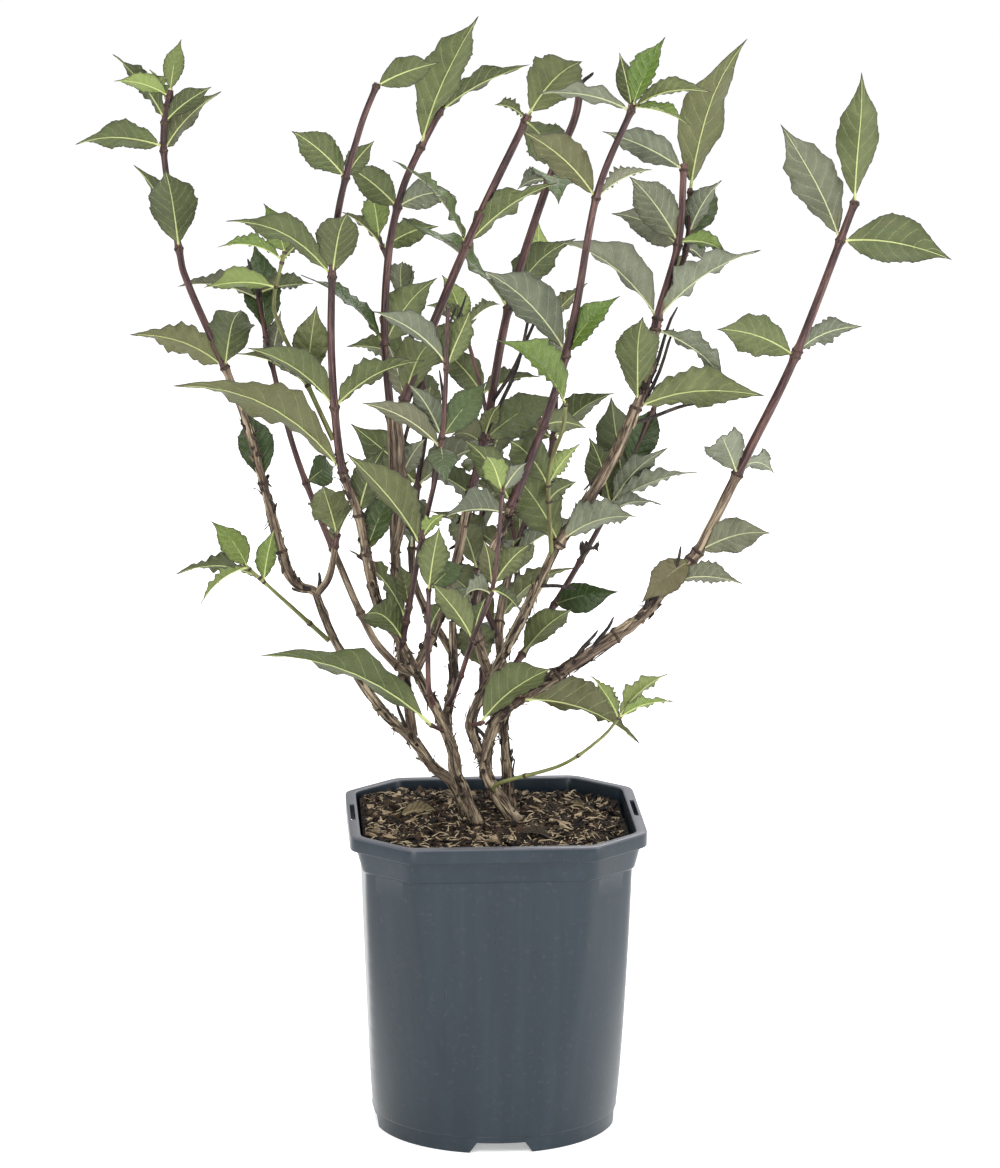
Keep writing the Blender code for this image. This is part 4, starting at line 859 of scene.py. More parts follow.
def makeCaneTubes(canes):
    batches = {kind: [] for kind in canePaints}
    for name, (cane, limb) in canes.items():
        places = nodePlaces(cane, limb)
        change = 0.0
        if 2 * limb.foot > caneSkin["woodyFrom"]:
            change = caneSkin["woodShares"].get(name, caneSkin["woodShare"]) * limb.length
            if change < limb.length:
                change = places[np.abs(places - change).argmin()]
        young = any(row[5] == "young" for row in cane.get("leaves", ()))
        upper = "fresh" if young and 2 * limb.foot < caneSkin["freshBelow"] else "purple"
        for kind, start, end in (("wood", 0.0, change), (upper, change, limb.length)):
            if end - start > caneSkin["shortest"]:
                batches[kind].append(caneTube(name, limb, places, start, end, kind == "wood"))
    for kind, parts in batches.items():
        piece = joinParts("canes" + kind.capitalize(), parts, canePaints[kind])
        if kind == "purple":
            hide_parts(*[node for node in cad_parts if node.startswith("bough")])


# One length of cane: the radius times one plus a bell at each node and ripples that run along it
def caneTube(name, limb, places, start, end, woody):
    sides = caneSkin["sides"]
    rows = max(4, int((end - start) / caneSkin["step"]))
    distance = np.linspace(start, end, rows)
    _, side, other = limbAxes(limb, distance)
    angle = ringAngles(sides)
    swell = np.zeros(rows)
    if len(places):
        near = (distance[:, None] - places) / caneSkin["swellReach"]
        swell = np.exp(-near ** 2).sum(axis=1) * caneSkin["swell"]
    depth = caneSkin["woodRidge"] if woody else caneSkin["ridge"]
    ridge = ripple(4 * angle[None], distance[:, None] / caneSkin["ridgeReach"], name) * depth
    radius = limb.radius(distance)[:, None] * (1 + swell[:, None] + ridge)
    points = tubePoints(limb.at(distance)[None], radius[None], side[None], other[None], sides)
    return points[0], tubeFaces(rows, sides), limbPlaces(name, limb, distance, angle)


# A limb's own frame, in metres: round its axis and along it, so that the grain runs with the wood
def limbPlaces(name, limb, distance, angle):
    radius = limb.radius(distance)[:, None]
    shift = random.Random(name).uniform(0, 4000)
    grid = np.broadcast_arrays(radius * np.cos(angle), radius * np.sin(angle), distance[:, None] + shift)
    body = np.stack(grid, -1).reshape(-1, 3)
    ends = np.array([[0, 0, distance[0] + shift], [0, 0, distance[-1] + shift]])
    return np.concatenate([body, ends]) * mm


# Makes one piece of many tubes, each given as its points, faces and own places
def joinParts(name, parts, paint):
    points, quads, fans, start = [], [], [], 0
    places = np.concatenate([part[2] for part in parts])
    for part, (quad, fan), _ in parts:
        points.append(part)
        quads.append(quad + start)
        fans.append(fan + start)
        start += len(part)
    faces = [np.concatenate(quads), np.concatenate(fans)]
    piece = makePiece(name, np.concatenate(points), faces, paint, places=places)
    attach(piece, "root")
    return piece


# Woody stems: ridged bark in long plates, knots, and thin peeling strips that lift at one end
stemBark = dict(
    sides=40, step=1.1, slim=0.74, ridge=0.12, plate=0.15, plateEdge=7.0, grain=0.06,
    knot=0.40, knotStart=18.0, knotSpacing=24.0, knotShift=6, knotRound=9.0, knotHeight=4.2,
    woodyCanes=(
        "centre_left_foot", "thick", "right_foot", "centre_front", "centre_back", "left_tall", "left_front",
    ),
    woodyReach=140.0, stripThickness=0.26, stripRows=6, stripColumns=5, stripCurl=0.4, stripGap=0.1,
)
# Kinds of peeling: how many, and their length, width and lift
peelings = (
    ("stripsBrown", 120, (6.0, 26.0), (0.8, 2.8), (0.2, 1.8)),
    ("stripsStraw", 170, (5.0, 22.0), (0.6, 2.0), (0.1, 0.9)),
    ("stripsDark", 150, (5.0, 20.0), (0.8, 2.8), (0.3, 2.6)),
    ("flakesDark", 420, (2.2, 7.0), (1.2, 3.4), (1.1, 3.6)),
    ("flakesStraw", 160, (2.0, 7.0), (0.8, 2.4), (0.8, 3.0)),
)


# Radius of a stem at a distance and angle: the tapered radius times one plus long ridges, sharp-edged
# plates, fine grain and a bell for each knot
def stemRadius(limb, name, distance, angle):
    plain = limb.radius(distance) * stemBark["slim"]
    wide = ripple(3.2 * angle, distance / 16.0, name + "ridge") * stemBark["ridge"]
    plates = ripple(5.0 * angle, distance / 7.0, name + "plate", 6)
    plates = np.tanh(plates * stemBark["plateEdge"]) * stemBark["plate"]
    grain = ripple(14.0 * angle, distance / 4.0, name + "grain") * stemBark["grain"]
    chance = random.Random(name)
    knots = 0.0
    shift = stemBark["knotShift"]
    for place in np.arange(stemBark["knotStart"], limb.length, stemBark["knotSpacing"]):
        turn, height = chance.uniform(0, 2 * math.pi), place + chance.uniform(-shift, shift)
        rise = (distance - height) / stemBark["knotHeight"]
        near = (1 - np.cos(angle - turn)) * stemBark["knotRound"] + rise ** 2
        knots = knots + np.exp(-near) * stemBark["knot"]
    return plain * (1 + wide + plates + grain + knots)


# The stems' wood: rings of stemRadius along each limb, in one piece
def makeStems(stems):
    parts, sides = [], stemBark["sides"]
    for name, limb in stems.items():
        rows = int(limb.length / stemBark["step"])
        distance = np.linspace(0.0, limb.length, rows)
        _, side, other = limbAxes(limb, distance)
        angle = ringAngles(sides)
        radius = stemRadius(limb, name, distance[:, None], angle[None])
        points = tubePoints(limb.at(distance)[None], radius[None], side[None], other[None], sides)
        parts.append((points[0], tubeFaces(rows, sides), limbPlaces(name, limb, distance, angle)))
    piece = joinParts("stemWood", parts, barkPaint)
    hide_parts(*stemSizes)


# Peelings: narrow plates that follow a limb's surface and stand off it towards one end
def makePeelings(stems, canes):
    limbs = list(stems.items()) + [(name, canes[name][1]) for name in stemBark["woodyCanes"]]
    for kind, count, lengths, widths, lifts in peelings:
        strips = [
            peeling(*limbs[number % len(limbs)], lengths, widths, lifts, random.Random(kind + str(number)))
            for number in range(count)
        ]
        fronts, backs, places = [np.array(part) for part in zip(*strips)]
        points, places = platePoints(fronts, backs), platePoints(places, places)
        faces = tubeFaces(fronts.shape[1], 2 * fronts.shape[2] - 2, count)
        piece = makePiece(kind, points, faces, peelingPaints[kind], places=places * mm)
        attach(piece, "root")


# One peeling: a strip of the limb's surface from edge to edge and end to end, raised by t squared
def peeling(name, limb, lengths, widths, lifts, chance):
    t, across = np.linspace(0, 1, stemBark["stripRows"]), np.linspace(-1, 1, stemBark["stripColumns"])
    end = min(limb.length, stemBark["woodyReach"])
    length = min(chance.uniform(*lengths), end * 0.6)
    start = chance.uniform(3.0, end - length - 1)
    width, centre = chance.uniform(*widths), chance.uniform(0, 2 * math.pi)
    lift = chance.uniform(*lifts) * chance.choice((1, 0.6, 0.3))
    lean = chance.uniform(-0.5, 0.5)
    distance = start + length * t
    _, side, other = limbAxes(limb, distance)
    spread = width / (2 * limb.radius(distance)) * (1 - 0.85 * (2 * t - 1) ** 4)
    angle = centre + across[None] * spread[:, None] + (lean * t ** 2)[:, None]
    rise = (t[::-1] if chance.random() < 0.5 else t) ** 2.0 * lift
    curl = across[None] ** 2 * (rise * stemBark["stripCurl"])[:, None]
    slim = 1.0 if name in stemSizes else 1.0 / stemBark["slim"]
    radius = stemRadius(limb, name, distance[:, None], angle) * slim + rise[:, None] + curl
    radius = radius + stemBark["stripGap"]
    spoke = np.cos(angle)[..., None] * side[:, None] + np.sin(angle)[..., None] * other[:, None]
    middle = limb.at(distance)[:, None] + radius[..., None] * spoke
    edge = (1 - np.abs(across) ** 3)[None, :, None] * stemBark["stripThickness"] / 2 + 0.03
    own = np.stack(np.broadcast_arrays(centre * 9 + across[None] * width / 2, 0.0, distance[:, None]), -1)
    return middle - spoke * edge, middle + spoke * edge, own


# Leaves
leafShape = dict(
    teeth=18, toothPeak=0.68, tooth=(0.5, 1.6), toothedFrom=80.0, crinkle=(0.3, 1.9), crinkles=(6.0, 10.0),
    bladeStart=0.055, belly=0.84, full=1.04, fullBroad=0.30, narrow=0.42, broadening=0.24,
    tail=0.68, tailStart=0.62, tailBroad=0.75, lobe=(0.0, 0.075), lobes=(2.6, 5.4),
    slender=0.97, slenderLong=0.15, longFrom=70, longReach=40, bias=(-0.08, 0.08), hook=(-0.06, 0.06),
    wave=(0.008, 0.042), waves=(1.8, 3.4), twist=(-24, 24), extraFold=(-2, 26), groove=0.32, quilt=0.060,
    thickness=0.36, crease=70, petiole=0.95, midrib=0.62, midribTip=0.14, margin=0.21,
    vein=0.45, veins=8, veinSweep=0.19, veinBend=1.3, veinReach=0.93, veinTaper=0.42, veinRows=8,
    lobeShift=(7, 2.1), waveShift=1.9, crinkleShift=(3, 2.4), toothShift=(47, 5), toothRange=(0.55, 0.45),
    edgePower=10, foldPower=1.3, besideGroove=0.1, twistFrom=0.25, hookFrom=0.5,
    columns=(-1.0, -0.82, -0.50, -0.22, 0.0, 0.22, 0.50, 0.82, 1.0),
    midribRows=(0.0, 0.03, 0.06, 0.10, 0.2, 0.32, 0.46, 0.6, 0.74, 0.86, 0.95), midribSides=6,
)


# Fallen leaves on the compost: the foot of each, then its heading, rise, length, how it shows and tone
litter = (
    ((-62.0, 4.0, 202.4), (12, 5, 28, "topWide", "litter")),
    ((34.0, -52.0, 200.5), (160, 4, 22, "half", "dried")),
    ((52.0, 30.0, 200.5), (-60, 5, 18, "wide", "litter")),
)


# One record for each row of each cane, dealt out by the node that holds it, and then the fallen leaves
def leafRecords(canes):
    records = []
    detail = random.Random("detail")
    for cane, limb in canes.values():
        start = 0.0
        for part, end in cane["nodes"]:
            if part.startswith("leaves"):
                chance = random.Random(part)
                for row in cane["leaves"]:
                    if start <= row[0] <= max(end, limb.length if part == cane["nodes"][-1][0] else 0):
                        records.append(leafRecord(limb, row, chance, detail))
            start = end
    ground = Limb([place for place, _ in litter], 2.0, 2.0)
    for place, row in litter:
        leaf = leafRecord(ground, (0.0,) + row, random.Random("litter"), detail)
        records.append({**leaf, "root": np.array(place)})
    return records


# What chance gives a leaf of its own, from its range in leafShape
leafChances = ("twist", "wave", "waves", "hook", "bias", "tooth", "crinkle", "crinkles", "lobe", "lobes")


# One leaf's numbers: its row, its place on the limb, and its own chances
def leafRecord(limb, row, chance, detail):
    place, heading, rise, length, face, tone = row
    turn, ratio = leafFaces[face]
    long = min(max((length - leafShape["longFrom"]) / leafShape["longReach"], 0.0), 1.0)
    width = length * ratio * (leafShape["slender"] - leafShape["slenderLong"] * long)
    return dict(
        root=limb.at(np.array(float(place))), cane=limb.along(np.array(float(place))),
        stem=float(limb.radius(place)), heading=heading, rise=rise, length=length, width=width,
        turn=turn, arch=chance.uniform(*growth["arch"]), droop=chance.uniform(*growth["droop"]),
        fold=chance.uniform(*growth["fold"]) + detail.uniform(*leafShape["extraFold"]),
        phase=detail.uniform(0, 2 * math.pi), shade=detail.randrange(3), tone=tone, hue=detail.random(),
        **{key: detail.uniform(*leafShape[key]) for key in leafChances},
    )


# Columns of numbers and axes for a group of leaves: midrib, upper side, side, and the way it hangs from
def leafArrays(records):
    group = {key: np.array([leaf[key] for leaf in records], dtype=float)
             for key in records[0] if key != "tone"}
    heading, rise, turn = [np.radians(group[key]) for key in ("heading", "rise", "turn")]
    flat = np.cos(rise)
    along = np.stack([flat * np.cos(heading), flat * np.sin(heading), np.sin(rise)], -1)
    wanted = np.stack([turn * 0, np.sin(turn), np.cos(turn)], -1)
    upper = wanted - along * (wanted * along).sum(-1, keepdims=True)
    up = np.array([0.0, 0.0, 1.0]) - along * along[:, 2:3]
    short = np.linalg.norm(upper, axis=1, keepdims=True) < 0.2
    group["upper"] = unit(np.where(short, up, upper))
    group["along"], group["hang"] = along, up
    group["side"] = np.cross(along, group["upper"])
    return group


# Half width at a share u of the blade: sin(pi u^belly) is full near the middle, narrows to the petiole,
# and its last part is drawn in to a tail, less on a broad blade, which is blunt
def leafOutline(u, bias, broad):
    full = leafShape["full"] - leafShape["fullBroad"] * broad
    body = np.sin(np.pi * u ** (leafShape["belly"] + bias)) ** full
    share = np.clip((u - leafShape["tailStart"]) / (1 - leafShape["tailStart"]), 0.0, 1.0)
    tail = leafShape["tail"] * (1 - leafShape["tailBroad"] * broad)
    return body * (1 - tail * share * share * (3 - 2 * share))


# How far the edge stands out at u: a saw that climbs slowly towards the tip and drops back
def toothHeight(u):
    place = np.mod(u * leafShape["teeth"] + 1e-6, 1.0)
    peak = leafShape["toothPeak"]
    return np.where(place < peak, place / peak, (1 - place) / (1 - peak))


# A point of the blade's middle surface at share t along and s across: the midrib bows towards the upper
# side and hangs, the halves fold up beside it, the edges wave, crinkle and carry teeth, the blade bulges
# between its side veins and twists, and its tip hooks aside
def leafSurface(group, t, s):
    def per(key):
        value = group[key]
        return value.reshape(value.shape[:1] + (1,) * (t.ndim - 1) + value.shape[1:])
    u = np.clip((t - leafShape["bladeStart"]) / (1 - leafShape["bladeStart"]), 0.0, 1.0)
    broad = (per("width") / per("length") - leafShape["narrow"]) / leafShape["broadening"]
    broad = np.clip(broad, 0.0, 1.0)
    outline = leafOutline(u, per("bias"), broad)
    phases, other = leafShape["lobeShift"]
    lobe = np.sin(2 * np.pi * per("lobes") * u + per("phase") * phases + (s > 0) * other)
    half = per("width") / 2 * outline * (1 + per("lobe") * lobe)
    tooth = per("tooth") * np.minimum(per("length") / leafShape["toothedFrom"], 1.0)
    edge = np.abs(s) ** leafShape["edgePower"] * tooth * np.sqrt(np.clip(outline, 0, 1))
    (least, more), (times, phases) = leafShape["toothRange"], leafShape["toothShift"]
    uneven = least + more * np.sin(u * times + per("phase") * phases + s)
    across = half * s + np.sign(s) * edge * toothHeight(u) * uneven
    level = np.tan(np.radians(per("fold"))) * half * np.abs(s) ** leafShape["foldPower"]
    swing = np.sin(2 * np.pi * per("waves") * u + per("phase") + (s > 0) * leafShape["waveShift"])
    level = level + per("wave") * per("length") * s ** 2 * swing * np.sqrt(outline)
    phases, other = leafShape["crinkleShift"]
    small = np.sin(2 * np.pi * per("crinkles") * u + per("phase") * phases + (s > 0) * other)
    level = level + per("crinkle") * s ** 4 * small * outline
    level = level + leafShape["groove"] * (np.abs(s) > leafShape["besideGroove"]) * (1 - u)
    sweep = leafShape["veinSweep"] * np.abs(s) ** leafShape["veinBend"]
    lines = np.abs(np.sin(np.pi * leafShape["veins"] * (u - sweep)))
    level = level + lines * leafShape["quilt"] * half * 2 * np.abs(s) * (1 - s ** 2)
    twist = np.radians(per("twist")) * (u - leafShape["twistFrom"])
    out = across * np.cos(twist) - level * np.sin(twist)
    out = out + per("hook") * per("length") * np.clip((u - leafShape["hookFrom"]) * 2, 0, 1) ** 2
    lift = across * np.sin(twist) + level * np.cos(twist)
    bow = (4 * t * (1 - t) * per("length"))[..., None]
    centre = per("root") + per("along") * (per("length") * t)[..., None]
    centre = centre + (per("upper") * per("arch")[..., None] + per("hang") * per("droop")[..., None]) * bow
    return centre + per("side") * out[..., None] + per("upper") * lift[..., None]


# Rows at the foot and the point of every tooth, and columns from edge to edge
def leafRows():
    foot = np.arange(leafShape["teeth"])
    u = np.sort(np.concatenate([foot, foot + leafShape["toothPeak"]])) / leafShape["teeth"]
    u = np.concatenate([[0.012], u[1:], [1.0]])
    return leafShape["bladeStart"] + (1 - leafShape["bladeStart"]) * u


# Shares along and across for a number of blades
def leafGrid(count):
    rows, columns = leafRows(), np.array(leafShape["columns"])
    shape = (count, len(rows), len(columns))
    return np.broadcast_to(rows[None, :, None], shape), np.broadcast_to(columns, shape)


# The blade is two thin closed plates, one for each side, that meet at its middle surface
def makeBlades(name, group, paint, sign):
    count = len(group["length"])
    t, s = leafGrid(count)
    middle = leafSurface(group, t, s)
    thick = leafShape["thickness"] / 2 * (1 - np.abs(s) ** 4)[..., None] * group["upper"][:, None, None]
    inner, outer = middle + thick * 0.02 * sign, middle + thick * sign
    front, back = (outer, inner) if sign > 0 else (inner, outer)
    rows, columns = t.shape[1:]
    faces = tubeFaces(rows, 2 * columns - 2, count)
    hue = np.broadcast_to(group["hue"][:, None, None], t.shape)
    own = np.stack([(t - leafShape["bladeStart"]) / (1 - leafShape["bladeStart"]), s, hue], -1)
    places = platePoints(own, own)
    piece = makePiece(name, platePoints(front, back), faces, paint, sharp=leafShape["crease"], places=places)
    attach(piece, "root")
    return piece


# Petiole and midrib: one tapering cord from the cane to near the tip, along the middle of the blade
def makeMidribs(name, group, paint):
    count, rows, sides = len(group["length"]), len(leafShape["midribRows"]), leafShape["midribSides"]
    t = np.broadcast_to(np.array(leafShape["midribRows"]), (count, rows))
    centres = leafSurface(group, t, t * 0) - group["upper"][:, None] * 0.10
    start = leafShape["petiole"] * (0.75 + group["length"] / 220)[:, None]
    thinning = leafShape["midribTip"] - leafShape["midrib"]
    radius = np.where(t < 0.08, start, leafShape["midrib"] + thinning * t)
    side = np.broadcast_to(group["side"][:, None], centres.shape)
    along = unit(np.gradient(centres, axis=1))
    points = tubePoints(centres, radius[..., None] + np.zeros(sides), side, np.cross(along, side), sides)
    piece = makePiece(name, points, tubeFaces(rows, sides, count), paint)
    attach(piece, "root")


# Points of a blade at row and column shares of its own grid, so that what lies on it keeps to its facets
def onBlade(group, t, s):
    rows, columns = leafRows(), np.array(leafShape["columns"])
    corners = leafSurface(group, *leafGrid(len(group["length"])))
    row = np.clip(np.searchsorted(rows, t, "right") - 1, 0, len(rows) - 2)
    column = np.clip(np.searchsorted(columns, s, "right") - 1, 0, len(columns) - 2)
    down = ((t - rows[row]) / (rows[row + 1] - rows[row]))[..., None]
    over = ((s - columns[column]) / (columns[column + 1] - columns[column]))[..., None]
    first = corners[:, row, column] * (1 - over) + corners[:, row, column + 1] * over
    second = corners[:, row + 1, column] * (1 - over) + corners[:, row + 1, column + 1] * over
    return first * (1 - down) + second * down


# Three-sided cords along rows of centres, a number of them to each leaf
def makeCords(name, group, centres, radius, paint):
    rows = centres.shape[1]
    upper = np.repeat(group["upper"], len(centres) // len(group["upper"]), axis=0)[:, None]
    along = unit(np.gradient(centres, axis=1))
    side = unit(np.cross(along, upper + np.zeros((1, rows, 1))))
    radius = np.broadcast_to(radius, centres.shape)
    points = tubePoints(centres, radius, side, np.cross(along, side), 3)
    piece = makePiece(name, points, tubeFaces(rows, 3, len(centres)), paint)
    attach(piece, "root")


# Side veins: pairs that leave the midrib and curve forward along the furrows of the quilting
def makeVeins(name, group, paint):
    count, veins, rows = len(group["length"]), leafShape["veins"], leafShape["veinRows"]
    q = np.linspace(0.0, 1.0, rows)
    sign = np.array([-1.0, 1.0])[None, :, None]
    start = (np.arange(1, veins - 1) / veins)[:, None, None]
    reach = leafShape["veinReach"] * q + np.zeros((len(start), 2, 1))
    u = np.clip(start + leafShape["veinSweep"] * reach ** leafShape["veinBend"], 0.0, 0.99)
    t = leafShape["bladeStart"] + (1 - leafShape["bladeStart"]) * u
    lines = 2 * len(start)
    centres = onBlade(group, t, sign * reach).reshape(count * lines, rows, 3)
    size = np.repeat(leafShape["vein"] * (0.5 + group["length"] / 160), lines)[:, None, None]
    makeCords(name, group, centres, size * (1 - leafShape["veinTaper"] * q)[None, :, None], paint)


# Margins: a thin dark cord along each toothed edge, a painted shade line where the edge curls away
def makeMargins(name, group, paint):
    rows = leafRows()
    t = np.broadcast_to(rows[None, None], (len(group["length"]), 2, len(rows)))
    s = np.broadcast_to(np.array([-1.0, 1.0])[None, :, None], t.shape)
    centres = leafSurface(group, t, s).reshape(-1, len(rows), 3)
    makeCords(name, group, centres, leafShape["margin"], paint)


# Each tone's blades by shade, upper side and underside, then its midribs, side veins and margins
def makeLeaves(records):
    for tone, paints in leafPaints.items():
        chosen = [leaf for leaf in records if leaf["tone"] == tone]
        if not chosen:
            continue
        label = tone.capitalize()
        for shade in range(3):
            shaded = [leaf for leaf in chosen if leaf["shade"] == shade]
            if not shaded:
                continue
            group = leafArrays(shaded)
            under = makeBlades("under" + label + str(shade), group, paints["under"][shade], -1)
            makeBlades("upper" + label + str(shade), group, paints["upper"][shade], 1)
            if tone == "old" and shade == 0:
                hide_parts(*[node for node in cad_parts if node.startswith("leaves")])
        group = leafArrays(chosen)
        makeMidribs("midribs" + label, group, paints["midrib"])
        makeVeins("veins" + label, group, paints["vein"])
        # Dark edge cords: a painted shade line where the edge curls away
        makeMargins("margins" + label, group, marginShadePaint)
    print("leaves:", len(records))


# Axil buds and node collars: a profile of radii along each
nodeTrim = dict(
    budLength=(2.2, 4.2), budRadius=0.85, budProfile=(0.7, 1.0, 0.95, 0.68, 0.36, 0.06), budSides=6,
    collarHeight=1.5, collarProfile=(0.98, 1.22, 1.34, 1.26, 1.0), collarSides=12, collarRadius=1.1,
)


# Buds: a small pointed one above each petiole, leaning between the cane's way and the leaf's
def makeBuds(records):
    records = records[:-len(litter)]
    group = leafArrays(records)
    chance = np.random.default_rng(4)
    count = len(records)
    length = chance.uniform(*nodeTrim["budLength"], count)[:, None]
    profile, sides = np.array(nodeTrim["budProfile"]), nodeTrim["budSides"]
    rows = len(profile)
    t = np.linspace(0, 1, rows)[None]
    direction = unit(group["cane"] + group["along"] * 0.55)
    flat = unit(group["along"] - group["cane"] * (group["along"] * group["cane"]).sum(-1, keepdims=True))
    base = group["root"] + flat * (group["stem"] * 0.72)[:, None] + group["cane"] * 0.9
    centres = base[:, None] + direction[:, None] * (length * t)[..., None]
    radius = np.broadcast_to((profile * nodeTrim["budRadius"])[None, :, None], (count, rows, sides))
    side = unit(np.cross(direction, flat))[:, None] + np.zeros((1, rows, 1))
    other = np.cross(direction[:, None] + np.zeros((1, rows, 1)), side)
    points = tubePoints(centres, radius, side, other, sides)
    piece = makePiece("axilBuds", points, tubeFaces(rows, sides, count), budPaint)
    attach(piece, "root")


# Collars: short rings that swell and close again round the cane at every node
def makeCollars(canes):
    rings, around = [], nodeTrim["collarSides"]
    profile = np.array(nodeTrim["collarProfile"])
    for cane, limb in canes.values():
        for place in nodePlaces(cane, limb):
            distance = place + np.linspace(-1, 1, len(profile)) * nodeTrim["collarHeight"]
            _, side, other = limbAxes(limb, np.clip(distance, 0, limb.length))
            radius = limb.radius(distance) * nodeTrim["collarRadius"] * profile
            rings.append((limb.at(distance), radius[:, None] + np.zeros(around), side, other))
    points = tubePoints(*[np.array(part) for part in zip(*rings)], around)
    piece = makePiece("nodeCollars", points, tubeFaces(len(profile), around, len(rings)), collarPaint)
    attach(piece, "root")


# Dead wood: dry twigs and stubs of old shoots, each given by its limb, the distance along it and its
# broken point
stubs = dict(
    sides=7, rows=9, radius=(1.4, 1.0), kink=0.05, rough=0.2, sticks=(
        ("centre_tall", 70, (-28, 8, 537)), ("centre_tall", 92, (-18, 14, 542)),
        ("middle_front", 120, (-32, -2, 496)), ("centre_back", 168, (34, 30, 540)),
        ("centre_back", 190, (41, 34, 535)), ("left_grey", 277, (-149, 60, 546)),
        ("left_grey", 287, (-156, 62, 559)), ("left_grey", 255, (-140, 58, 488)),
        ("centre_front", 405, (82, -95, 693)), ("thick", 84, (120, 21, 516)), ("thick", 104, (121, 20, 531)),
        ("thick", 92, (138, 22, 470)), ("centre_back", 394, (62, 97, 669)),
        ("centre_back", 406, (70, 95, 675)), ("stem_middle", 76, (-26, 14, 336)),
        ("left_inner", 2, (-111, 22, 361)), ("left_tall", 10, (-128, 22, 359)),
        ("right_foot", 103, (103, 6, 353)), ("stem_thick", 131, (52, -8, 355)),
        ("right_foot", 46, (66, 0, 326)), ("right_foot", 60, (77, 0, 334)),
        ("right_foot", 128, (122, 6, 378)), ("stem_right", 60, (-14, -10, 268)),
        ("stem_far_left", 70, (-62, 8, 279)),
    ),
)


# A stub is a straight line with a slight kink to one side, tapered and rippled, and blunt at its end
def makeStubs(stems, canes):
    limbs = {**stems, **{name: limb for name, (_, limb) in canes.items()}}
    base = np.array([limbs[name].at(np.array(float(place))) for name, place, _ in stubs["sticks"]])
    reach = np.array([tip for _, _, tip in stubs["sticks"]], dtype=float) - base
    t, sides = np.linspace(0, 1, stubs["rows"]), stubs["sides"]
    along = unit(reach)
    side = unit(np.cross(along, np.array([0.3, 1.0, 0.2])))
    other = np.cross(along, side)
    kink = np.sin(t[None] * 5.0 + np.arange(len(base))[:, None]) * stubs["kink"] * t
    length = np.linalg.norm(reach, axis=1)[:, None]
    centres = base[:, None] + reach[:, None] * t[:, None] + side[:, None] * (kink * length)[..., None]
    thick, thin = stubs["radius"]
    radius = (thick + (thin - thick) * t) * np.where(t > 0.97, 0.5, 1.0)
    uneven = ripple(t[None, :, None] * 9, np.arange(sides) * 2.0, "stub") * stubs["rough"]
    radius = np.broadcast_to(radius[None, :, None] * (1 + uneven), centres.shape[:2] + (sides,))
    side, other = [np.broadcast_to(axis[:, None], centres.shape) for axis in (side, other)]
    points = tubePoints(centres, radius, side, other, sides)
    piece = makePiece("deadStubs", points, tubeFaces(len(t), sides, len(base)), deadPaint)
    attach(piece, "root")


# Barks and dead wood: dark, middle and light, how far the grain is drawn out along the limb, its scale,
# relief and roughness, and whether it runs with the limb
barkTones = {
    "peelingBark": ((0.01, 0.006, 0.005), (0.09, 0.064, 0.043), (0.36, 0.29, 0.195),
        0.12, 330, 0.9, 0.8, True),
    "stripBrown": ((0.022, 0.014, 0.01), (0.08, 0.055, 0.037), (0.19, 0.14, 0.09),
        0.15, 330, 0.6, 0.8, True),
    "stripStraw": ((0.12, 0.088, 0.056), (0.26, 0.205, 0.135), (0.42, 0.345, 0.24),
        0.15, 330, 0.6, 0.8, True),
    "stripDark": ((0.006, 0.004, 0.0035), (0.022, 0.014, 0.011), (0.06, 0.042, 0.03),
        0.15, 330, 0.6, 0.8, True),
    "caneWood": ((0.02, 0.011, 0.009), (0.085, 0.055, 0.038), (0.31, 0.245, 0.165),
        0.07, 420, 0.7, 0.7, True),
    "canePurple": ((0.012, 0.005, 0.006), (0.038, 0.015, 0.017), (0.13, 0.066, 0.054),
        0.06, 420, 0.35, 0.42, True),
    "caneFresh": ((0.07, 0.06, 0.022), (0.13, 0.14, 0.045), (0.21, 0.23, 0.085),
        0.08, 330, 0.3, 0.5, True),
    "deadWood": ((0.006, 0.005, 0.005), (0.018, 0.014, 0.013), (0.06, 0.046, 0.038),
        0.3, 300, 0.7, 0.8, False),
    "nodeCollar": ((0.016, 0.009, 0.008), (0.04, 0.023, 0.018), (0.095, 0.066, 0.042),
        1, 500, 0.5, 0.8, False),
}


# Long grain and a finer one, each drawn out along the limb: three tones by the first, then pale streaks,
# partly lighter bark and partly a painted highlight along the limb, and dark streaks by the second
barkSkin = dict(
    stops=(0.40, 0.5, 0.62), finer=4.5, pale=(0.50, 0.66), paleAndSheenShare=0.45, deep=(0.48, 0.36), deepShare=0.55,
    depth=0.0009,
)


def barkLike(name, dark, middle, light, drawn, scale, strength, roughness, own):
    paint = Paint(name, roughness=roughness, specular=0.3, own=own)
    grain = paint.noise(scale, 6.0, (1, 1, drawn), 0.65)
    fine = paint.noise(scale * barkSkin["finer"], 4.0, (1, 1, drawn), 0.6)
    colour = paint.ramp(grain, *zip(barkSkin["stops"], (dark, middle, light)))
    # Pale streaks along the limb: partly lighter bark, partly a painted highlight
    colour = paint.mix(paint.range(fine, *barkSkin["pale"]) * barkSkin["paleAndSheenShare"], colour, light)
    colour = paint.mix(paint.range(fine, *barkSkin["deep"]) * barkSkin["deepShare"], colour, dark)
    paint.set("Base Color", colour)
    paint.bump(grain * 0.6 + fine * 0.4, strength, barkSkin["depth"])
    return paint


# A colour made lighter or darker by a factor
def toned(colour, factor):
    return tuple(value * factor for value in colour)


